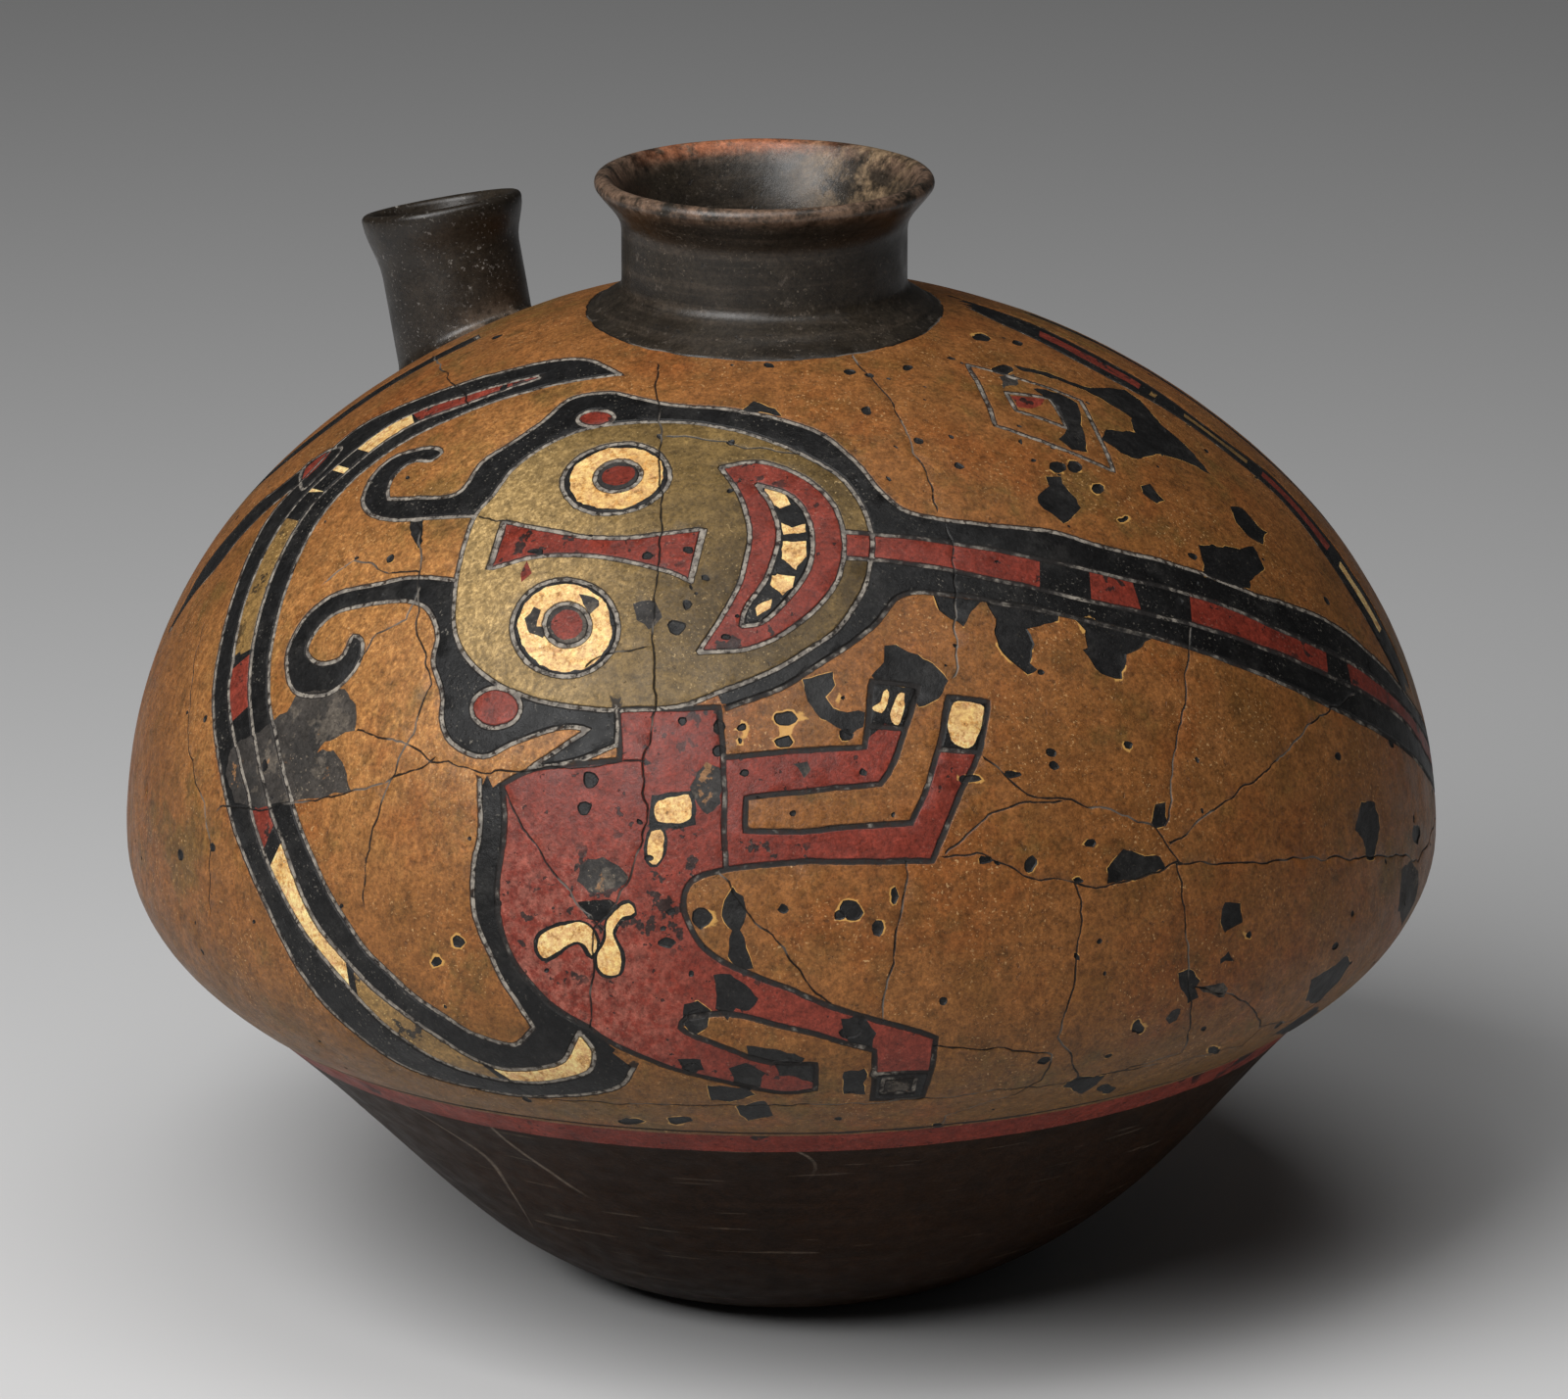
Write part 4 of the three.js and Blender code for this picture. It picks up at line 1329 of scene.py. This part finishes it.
class Look:
    """A material with the few kinds of node that the looks of the clay need."""

    def __init__(self, name):
        self.material = bpy.data.materials.new(name)
        self.material.use_nodes = True
        self.tree = self.material.node_tree
        self.tree.nodes.clear()
        output = self.tree.nodes.new("ShaderNodeOutputMaterial")
        self.shader = self.tree.nodes.new("ShaderNodeBsdfPrincipled")
        self.tree.links.new(self.shader.outputs[0], output.inputs[0])
        self.place = self.tree.nodes.new("ShaderNodeTexCoord").outputs["Object"]

    def put(self, value, socket):
        if isinstance(value, bpy.types.NodeSocket):
            self.tree.links.new(value, socket)
        elif isinstance(value, tuple) and len(value) == 3 and len(socket.default_value) == 4:
            socket.default_value = (*value, 1)
        else:
            socket.default_value = value

    def stretched(self, x, y, z, turn=(0, 0, 0)):
        node = self.tree.nodes.new("ShaderNodeMapping")
        node.inputs["Scale"].default_value = (x, y, z)
        node.inputs["Rotation"].default_value = tuple(math.radians(a) for a in turn)
        self.put(self.place, node.inputs["Vector"])
        return node.outputs[0]

    def noise(self, scale, detail=3.0, roughness=0.5, place=None):
        node = self.tree.nodes.new("ShaderNodeTexNoise")
        self.put(place or self.place, node.inputs["Vector"])
        node.inputs["Scale"].default_value = scale
        node.inputs["Detail"].default_value = detail
        node.inputs["Roughness"].default_value = roughness
        return node.outputs[0]

    def ramp(self, value, *stops):
        node = self.tree.nodes.new("ShaderNodeValToRGB")
        elements = node.color_ramp.elements
        while len(elements) < len(stops):
            elements.new(0.5)
        for element, (position, colour) in zip(elements, stops):
            element.position = position
            element.color = (*colour, 1) if isinstance(colour, tuple) else (colour, colour, colour, 1)
        self.put(value, node.inputs[0])
        return node.outputs[0]

    def step(self, value, low, high):
        node = self.tree.nodes.new("ShaderNodeMapRange")
        node.interpolation_type = "SMOOTHSTEP"
        self.put(value, node.inputs["Value"])
        node.inputs["From Min"].default_value = low
        node.inputs["From Max"].default_value = high
        return node.outputs[0]

    def math(self, operation, a, b=0.0):
        node = self.tree.nodes.new("ShaderNodeMath")
        node.operation = operation
        self.put(a, node.inputs[0])
        self.put(b, node.inputs[1])
        return node.outputs[0]

    def times(self, a, b):
        return self.math("MULTIPLY", a, b)

    def plus(self, a, b):
        return self.math("ADD", a, b)

    def rest(self, value):
        return self.math("SUBTRACT", 1.0, value)

    def mix(self, factor, a, b, blend="MIX"):
        node = self.tree.nodes.new("ShaderNodeMix")
        node.data_type = "RGBA"
        node.blend_type = blend
        self.put(factor, node.inputs[0])
        self.put(a, node.inputs[MIX_FIRST])
        self.put(b, node.inputs[MIX_SECOND])
        return node.outputs[MIX_RESULT]

    def mark(self, name):
        node = self.tree.nodes.new("ShaderNodeAttribute")
        node.attribute_name = name
        return node.outputs["Fac"]

    def stained(self, colour, tone, amount, texture, low, high, where=None):
        """The colour with a tone where the texture rises from low to high."""
        share = self.step(texture, low, high)
        if where is not None:
            share = self.times(where, share)
        return self.mix(self.times(share, amount), colour, tone)

    def part_of(self, axis):
        node = self.tree.nodes.new("ShaderNodeSeparateXYZ")
        self.put(self.place, node.inputs[0])
        return node.outputs[axis]

    def patch(self, x, y, z, radius):
        """One near a place of the jar, in millimetres, and nothing beyond the radius."""
        node = self.tree.nodes.new("ShaderNodeVectorMath")
        node.operation = "DISTANCE"
        self.put(self.place, node.inputs[0])
        node.inputs[1].default_value = (x * MM, y * MM, z * MM)
        return self.rest(self.step(node.outputs["Value"], radius * PATCH_CORE * MM, radius * MM))

    def finish(self, colour, roughness, height, strength=0.3, distance=0.0004):
        self.put(colour, self.shader.inputs["Base Color"])
        self.put(roughness, self.shader.inputs["Roughness"])
        bump = self.tree.nodes.new("ShaderNodeBump")
        bump.inputs["Strength"].default_value = strength
        bump.inputs["Distance"].default_value = distance
        self.put(height, bump.inputs["Height"])
        self.put(bump.outputs[0], self.shader.inputs["Normal"])
        return self.material


PALE_CUT = (0.30, 0.265, 0.22)
PALE_CUT_DARK = (0.13, 0.115, 0.10)
DARK_CUT = (0.018, 0.016, 0.015)
DARK_EDGE = (0.012, 0.010, 0.009)
BARE = (0.008, 0.0075, 0.0075)
RIM_YELLOW = (0.60, 0.33, 0.09)
DARK_CRACK = (0.009, 0.008, 0.007)
DUSTY_CRACK = (0.12, 0.105, 0.09)


def over_relief(it, colour, ragged, rims):
    """The colour with the yellow rims of losses, the cut lines and the cracks over it."""
    rim = it.times(it.mark("rim"), it.step(it.noise(130, 2), 0.40, 0.56))
    rim = it.plus(rim, it.times(ragged, 0.35))
    colour = it.stained(colour, RIM_YELLOW, rims, rim, 0.76, 0.90)
    cut = it.plus(it.mark("cut"), it.times(ragged, 0.9))
    colour = it.stained(colour, DARK_EDGE, 0.92, cut, 0.22, 0.48)
    dusty = it.plus(it.mark("pale"), it.times(it.math("SUBTRACT", it.noise(200, 3, 0.6), 0.5), 1.6))
    pale = it.mix(it.step(it.noise(420, 3), 0.35, 0.65), PALE_CUT, PALE_CUT_DARK)
    floor_colour = it.mix(it.step(dusty, 0.45, 0.80), DARK_CUT, pale)
    colour = it.mix(it.step(cut, 0.84, 1.02), colour, floor_colour)
    split = it.plus(it.mark("split"), it.times(ragged, 0.9))
    crack_colour = it.mix(it.step(it.noise(60, 2), 0.54, 0.62), DARK_CRACK, DUSTY_CRACK)
    return it.stained(colour, crack_colour, 0.95, split, 0.22, 0.50)


def slip(name, base, cloud, deep, fleck, flecks=0.5, pits=0.3, scratch_and_highlight=None, gloss=0.45, shine=0.35, bump=0.6,
         rims=0.75, spots=None, extra=None):
    """A slip colour with clouds, grain, pale flecks, dark pits, cut lines, worn rims and cracks."""
    it = Look(name)
    it.shader.inputs["Specular IOR Level"].default_value = shine
    clouds = it.noise(13, 4, 0.6)
    middling = it.noise(75, 4, 0.65)
    grain = it.noise(950, 4, 0.8)
    mottle = it.noise(300, 3, 0.65)
    colour = it.mix(it.step(clouds, 0.40, 0.62), base, cloud)
    colour = it.stained(colour, deep, 0.7, middling, 0.46, 0.70)
    # Scratched patches on the upper left: a broad lighter tone with golden streaks, partly real scratches and
    # partly a painted highlight with its sparkle
    if scratch_and_highlight:
        tone, amount, places = scratch_and_highlight
        streaks = it.noise(1, 4, 0.75, place=it.stretched(800, 800, 140, (18, 38, 0)))
        where = it.patch(*places[0])
        for place in places[1:]:
            where = it.math("MAXIMUM", where, it.patch(*place))
        colour = it.mix(it.times(where, amount * 0.4), colour, tone)
        colour = it.stained(colour, tone, amount, streaks, 0.46, 0.60, where)
    if extra:
        colour = extra(it, colour)
    if spots:
        tone, scale, low, amount = spots
        region = it.step(it.noise(24, 2), 0.42, 0.56)
        colour = it.stained(colour, tone, amount, it.noise(scale, 3, 0.6), low, low + 0.025, region)
    colour = it.mix(0.70, colour, it.ramp(grain, (0.30, 0.14), (0.70, 0.90)), "OVERLAY")
    colour = it.mix(0.50, colour, it.ramp(mottle, (0.3, 0.16), (0.7, 0.86)), "OVERLAY")
    flecked = it.step(it.noise(48, 4, 0.7), 0.42, 0.62)
    colour = it.stained(colour, fleck, flecks, it.noise(1300, 2, 0.5), 0.64, 0.69, flecked)
    holes = it.step(it.noise(430, 2, 0.5), 0.70, 0.72)
    colour = it.mix(it.times(holes, pits), colour, BARE)
    ragged = it.math("SUBTRACT", it.noise(600, 3, 0.65), 0.5)
    colour = over_relief(it, colour, ragged, rims)
    dull = it.plus(it.times(it.noise(160, 3), 0.36), gloss - 0.18)
    dull = it.plus(dull, it.times(it.mark("cut"), 0.3))
    height = it.math("SUBTRACT", it.times(grain, 0.6), it.times(holes, 0.9))
    height = it.plus(height, it.times(mottle, 0.8))
    return it.finish(colour, dull, height, strength=bump)


# Stains, wear and painted highlights of single slips: their colours, their places as a middle and a
# reach in millimetres, and the heights in metres between which they come or go
LOW_OLIVE = (0.105, 0.058, 0.0135)
OLIVE_STAIN = (0.105, 0.066, 0.018)
RUST_STAIN = (0.190, 0.062, 0.0155)
BROWN_STAIN = (0.088, 0.046, 0.015)
PINK_SHEEN = (0.30, 0.105, 0.075)
DARK_OLIVE = (0.054, 0.034, 0.012)
BRUSH_BROWN = (0.024, 0.011, 0.0050)
PALE_SCRATCH = (0.14, 0.105, 0.075)
PALE_HAIRLINE = (0.13, 0.10, 0.075)
BURNISH_GREY = (0.048, 0.036, 0.026)
SCUFF_GREY = (0.16, 0.13, 0.105)
LIP_BROWN_AND_HIGHLIGHT = (0.125, 0.078, 0.052)
FIRED_RED = (0.30, 0.105, 0.048)
MOUTH_TAN = (0.23, 0.155, 0.088)
LIME_WHITE = (0.40, 0.37, 0.33)
BEIGE_WEAR_AND_HIGHLIGHT = (0.25, 0.18, 0.13)
GREY_SCRAP = (0.085, 0.070, 0.055)
OCHRE_SCRAP = (0.24, 0.12, 0.05)
GOLDEN_BROWN_GRAIN = (0.42, 0.19, 0.045)
LOW_GROUND = (0.080, 0.125)
# Painted pink sheen on the left of the body, as a middle and a reach
TORSO_SHEEN = (-64, -152, 118, 62)
HEAD_SHADE = (4, -112, 205, 60)
MOUTH_FIRED = (-14, 40, 290, 36)
MOUTH_PALE = (22, 26, 288, 27)
# Beige on the spout's front foot, partly wear and partly a painted highlight, as a middle and a reach
SPOUT_FOOT_WEAR_AND_HIGHLIGHT = (-72, 50, 226, 22)
LIME_HEIGHTS = (0.235, 0.268)


def ground_extra(it, colour):
    """More olive towards the fold, with olive, rusty and brown stains."""
    low = it.rest(it.step(it.part_of("Z"), *LOW_GROUND))
    colour = it.mix(it.times(low, 0.6), colour, LOW_OLIVE)
    colour = it.stained(colour, OLIVE_STAIN, 0.6, it.noise(34, 5, 0.7), 0.52, 0.66)
    colour = it.stained(colour, RUST_STAIN, 0.8, it.noise(21, 5, 0.7), 0.50, 0.66)
    return it.stained(colour, BROWN_STAIN, 0.5, it.noise(120, 5, 0.75), 0.53, 0.68)


def red_extra(it, colour):
    """A painted pink sheen: a paler patch on the left of the body."""
    return it.stained(colour, PINK_SHEEN, 0.6, it.noise(330, 4, 0.75), 0.40, 0.60, it.patch(*TORSO_SHEEN))


def face_extra(it, colour):
    """Darker olive on the right of the head."""
    return it.stained(colour, DARK_OLIVE, 0.9, it.noise(45, 4, 0.7), 0.28, 0.58, it.patch(*HEAD_SHADE))


def hairline(it, scale, width):
    """Long thin wandering lines, as where the clay has split."""
    away = it.math("ABSOLUTE", it.math("SUBTRACT", it.noise(scale, 1.5, 0.35), 0.5))
    return it.rest(it.step(away, width * 0.4, width))


def bowl_extra(it, colour):
    """Fine level brush marks, pale scratches and long hairline cracks."""
    brushed = it.noise(1, 3, 0.6, place=it.stretched(14, 14, 420))
    colour = it.stained(colour, BRUSH_BROWN, 0.5, brushed, 0.5, 0.72)
    scratches = it.noise(1, 2, 0.4, place=it.stretched(30, 30, 700, (25, 10, 0)))
    colour = it.stained(colour, PALE_SCRATCH, 0.3, scratches, 0.68, 0.72)
    return it.stained(colour, PALE_HAIRLINE, 0.7, it.noise(16, 2), 0.45, 0.6, hairline(it, 7, 0.0016))


def neck_extra(it, colour):
    """Level burnishing marks, a browner lip that is partly a painted highlight on its top, and fire marks on
    the back of the mouth.
    """
    burnished = it.noise(1, 3, 0.6, place=it.stretched(18, 18, 500))
    colour = it.stained(colour, BURNISH_GREY, 0.55, burnished, 0.46, 0.72)
    colour = it.stained(colour, SCUFF_GREY, 0.25, it.noise(260, 4, 0.7), 0.60, 0.68)
    # The lip's top turns browner: partly its own colour, partly a painted highlight
    lip = it.step(it.part_of("Z"), (LIP_Z - 4.5) * MM, (LIP_Z + 0.5) * MM)
    colour = it.stained(colour, LIP_BROWN_AND_HIGHLIGHT, 0.9, it.noise(150, 4, 0.7), 0.35, 0.60, lip)
    top = it.step(it.part_of("Z"), (LIP_Z - 2.5) * MM, (LIP_Z + 0.5) * MM)
    fired = it.times(it.patch(*MOUTH_FIRED), top)
    colour = it.stained(colour, FIRED_RED, 0.95, it.noise(120, 4, 0.7), 0.34, 0.54, fired)
    return it.stained(colour, MOUTH_TAN, 0.75, it.noise(80, 5, 0.75), 0.40, 0.60, it.patch(*MOUTH_PALE))


def spout_extra(it, colour):
    """Lime in groups of specks, most near the rim, and a beige foot at the front that is partly wear and
    partly a painted highlight.
    """
    limed = it.times(it.step(it.part_of("Z"), *LIME_HEIGHTS), it.step(it.noise(55, 3, 0.6), 0.50, 0.62))
    colour = it.stained(colour, LIME_WHITE, 0.85, it.noise(330, 4, 0.75), 0.60, 0.65, limed)
    return it.stained(colour, BEIGE_WEAR_AND_HIGHLIGHT, 0.7, it.noise(200, 3, 0.6), 0.38, 0.60, it.patch(*SPOUT_FOOT_WEAR_AND_HIGHLIGHT))


def worn_extra(it, colour):
    """Scraps of ochre and grey that are left on the bare clay."""
    colour = it.stained(colour, GREY_SCRAP, 0.8, it.noise(85, 4, 0.7), 0.54, 0.60)
    return it.stained(colour, OCHRE_SCRAP, 0.8, it.noise(120, 4, 0.7), 0.62, 0.66)


def gold_extra(it, colour):
    """Fine golden brown grain over the cream."""
    return it.stained(colour, GOLDEN_BROWN_GRAIN, 0.75, it.noise(430, 4, 0.75), 0.50, 0.60)


# Scratched patches on the upper left of the ground and of the face, as a middle and a reach in millimetres.
# Their lighter tone is partly a painted highlight
UPPER_LEFT = [(-92, -104, 190, 75), (-60, -120, 178, 55), (-112, -78, 170, 60), (-60, -78, 225, 50)]
FACE_LEFT = [(-78, -98, 205, 62), (-62, -124, 165, 45)]
DARK_SPOTS = ((0.012, 0.011, 0.010), 210, 0.585, 0.9)
MATERIALS = {
    "ochre": slip("ochre_slip", (0.188, 0.072, 0.0195), (0.210, 0.084, 0.0245), (0.120, 0.052, 0.0135),
                  (0.60, 0.36, 0.16), flecks=0.6, shine=0.25,
                  scratch_and_highlight=((0.41, 0.195, 0.060), 0.68, UPPER_LEFT), extra=ground_extra),
    "olive": slip("olive_slip", (0.140, 0.088, 0.030), (0.165, 0.105, 0.036), (0.092, 0.058, 0.020),
                  (0.55, 0.38, 0.17), shine=0.25, scratch_and_highlight=((0.44, 0.295, 0.125), 0.8, FACE_LEFT),
                  extra=face_extra),
    "black": slip("black_slip", (0.0050, 0.0048, 0.0048), (0.009, 0.0088, 0.0088), (0.016, 0.015, 0.014),
                  (0.30, 0.27, 0.22), flecks=0.35, pits=0.0, gloss=0.45, shine=0.22),
    "red": slip("red_slip", (0.152, 0.0215, 0.0120), (0.176, 0.030, 0.018), (0.105, 0.016, 0.0095),
                (0.45, 0.24, 0.17), flecks=0.3, pits=0.8, shine=0.28, spots=DARK_SPOTS,
                extra=red_extra),
    "yellow": slip("yellow_slip", (0.66, 0.43, 0.17), (0.74, 0.53, 0.24), (0.50, 0.27, 0.08),
                   (0.88, 0.76, 0.48), pits=0.4, extra=gold_extra),
    "bare": slip("bare_clay", (0.0065, 0.0062, 0.0062), (0.011, 0.0105, 0.0105), (0.018, 0.017, 0.016),
                 (0.14, 0.12, 0.09), flecks=0.2, pits=0.0, gloss=0.5, shine=0.25, rims=0.0),
    "worn": slip("worn_clay", (0.028, 0.025, 0.023), (0.045, 0.038, 0.032), (0.016, 0.015, 0.014),
                 (0.30, 0.24, 0.17), gloss=0.62, shine=0.25, rims=0.0, extra=worn_extra),
    "gold": slip("gold_slip", (0.155, 0.088, 0.030), (0.215, 0.125, 0.040), (0.095, 0.058, 0.024),
                 (0.70, 0.48, 0.18), flecks=0.9, spots=DARK_SPOTS),
    "band": slip("red_band", (0.150, 0.021, 0.0120), (0.175, 0.029, 0.017), (0.080, 0.012, 0.0075),
                 (0.35, 0.2, 0.15), flecks=0.2, pits=0.8, gloss=0.45, shine=0.12,
                 spots=((0.009, 0.007, 0.006), 90, 0.60, 0.95)),
    "bowl": slip("dark_bowl", (0.014, 0.0060, 0.0024), (0.020, 0.0085, 0.0035), (0.009, 0.0045, 0.0022),
                 (0.09, 0.06, 0.04), flecks=0.2, pits=0.0, gloss=0.45, shine=0.05, bump=0.25,
                 extra=bowl_extra),
    "neck": slip("neck_slip", (0.014, 0.0105, 0.0070), (0.024, 0.0185, 0.0130), (0.0085, 0.0065, 0.0045),
                 (0.3, 0.24, 0.18), flecks=0.3, pits=0.5, gloss=0.37, shine=0.40, bump=0.3,
                 extra=neck_extra),
    "spout": slip("spout_slip", (0.013, 0.0095, 0.0062), (0.022, 0.0165, 0.0115), (0.0085, 0.0065, 0.0048),
                  (0.5, 0.46, 0.42), flecks=0.2, pits=0.4, gloss=0.36, shine=0.42, bump=0.3,
                  extra=spout_extra),
    "inside": slip("clay_inside", (0.030, 0.024, 0.020), (0.045, 0.036, 0.028), (0.018, 0.015, 0.013),
                   (0.2, 0.15, 0.1), flecks=0.2, gloss=0.6, shine=0.25),
}
for name in LOOKS:
    data.materials.append(MATERIALS[name])

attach(jar, "root")
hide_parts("jar")

# Plain pale floor, wide enough to fill the picture from every side
FLOOR_HALF = 6.0
FLOOR_GREY = (0.62, 0.62, 0.62)
floor_data = bpy.data.meshes.new("floor")
floor_corners = [(-FLOOR_HALF, -FLOOR_HALF, 0), (FLOOR_HALF, -FLOOR_HALF, 0), (FLOOR_HALF, FLOOR_HALF, 0),
                 (-FLOOR_HALF, FLOOR_HALF, 0)]
floor_data.from_pydata(floor_corners, [], [(0, 1, 2, 3)])
floor = bpy.data.objects.new("floor", floor_data)
bpy.context.scene.collection.objects.link(floor)
paper = Look("floor_paper")
floor_data.materials.append(paper.finish(FLOOR_GREY, 0.9, paper.noise(300), strength=0.02))


def area_light(name, place, target, size, power):
    lamp = bpy.data.lights.new(name, "AREA")
    lamp.shape = "SQUARE"
    lamp.size = size
    lamp.energy = power
    holder = bpy.data.objects.new(name, lamp)
    bpy.context.scene.collection.objects.link(holder)
    holder.location = place
    holder.rotation_euler = (Vector(target) - Vector(place)).to_track_quat("-Z", "Y").to_euler()


area_light("key", place=(-0.75, -1.00, 1.32), target=(0, 0, 0.12), size=1.15, power=35)
area_light("top", place=(0.15, -0.45, 1.70), target=(0, 0, 0.1), size=0.9, power=7)

WORLD_GREY = (0.5, 0.5, 0.5, 1)
WORLD_STRENGTH = 0.06
world = bpy.data.worlds.new("studio")
world.use_nodes = True
world.node_tree.nodes["Background"].inputs["Color"].default_value = WORLD_GREY
world.node_tree.nodes["Background"].inputs["Strength"].default_value = WORLD_STRENGTH
bpy.context.scene.world = world
bpy.context.scene.view_settings.view_transform = "Standard"

camera_data = bpy.data.cameras.new("camera")
camera_data.lens = LENS
camera_data.sensor_width = SENSOR
camera_data.clip_end = 50
camera = bpy.data.objects.new("camera", camera_data)
bpy.context.scene.collection.objects.link(camera)
camera.location = camera_spot * MM
camera.rotation_euler = camera_turn.to_euler()
bpy.context.scene.camera = camera
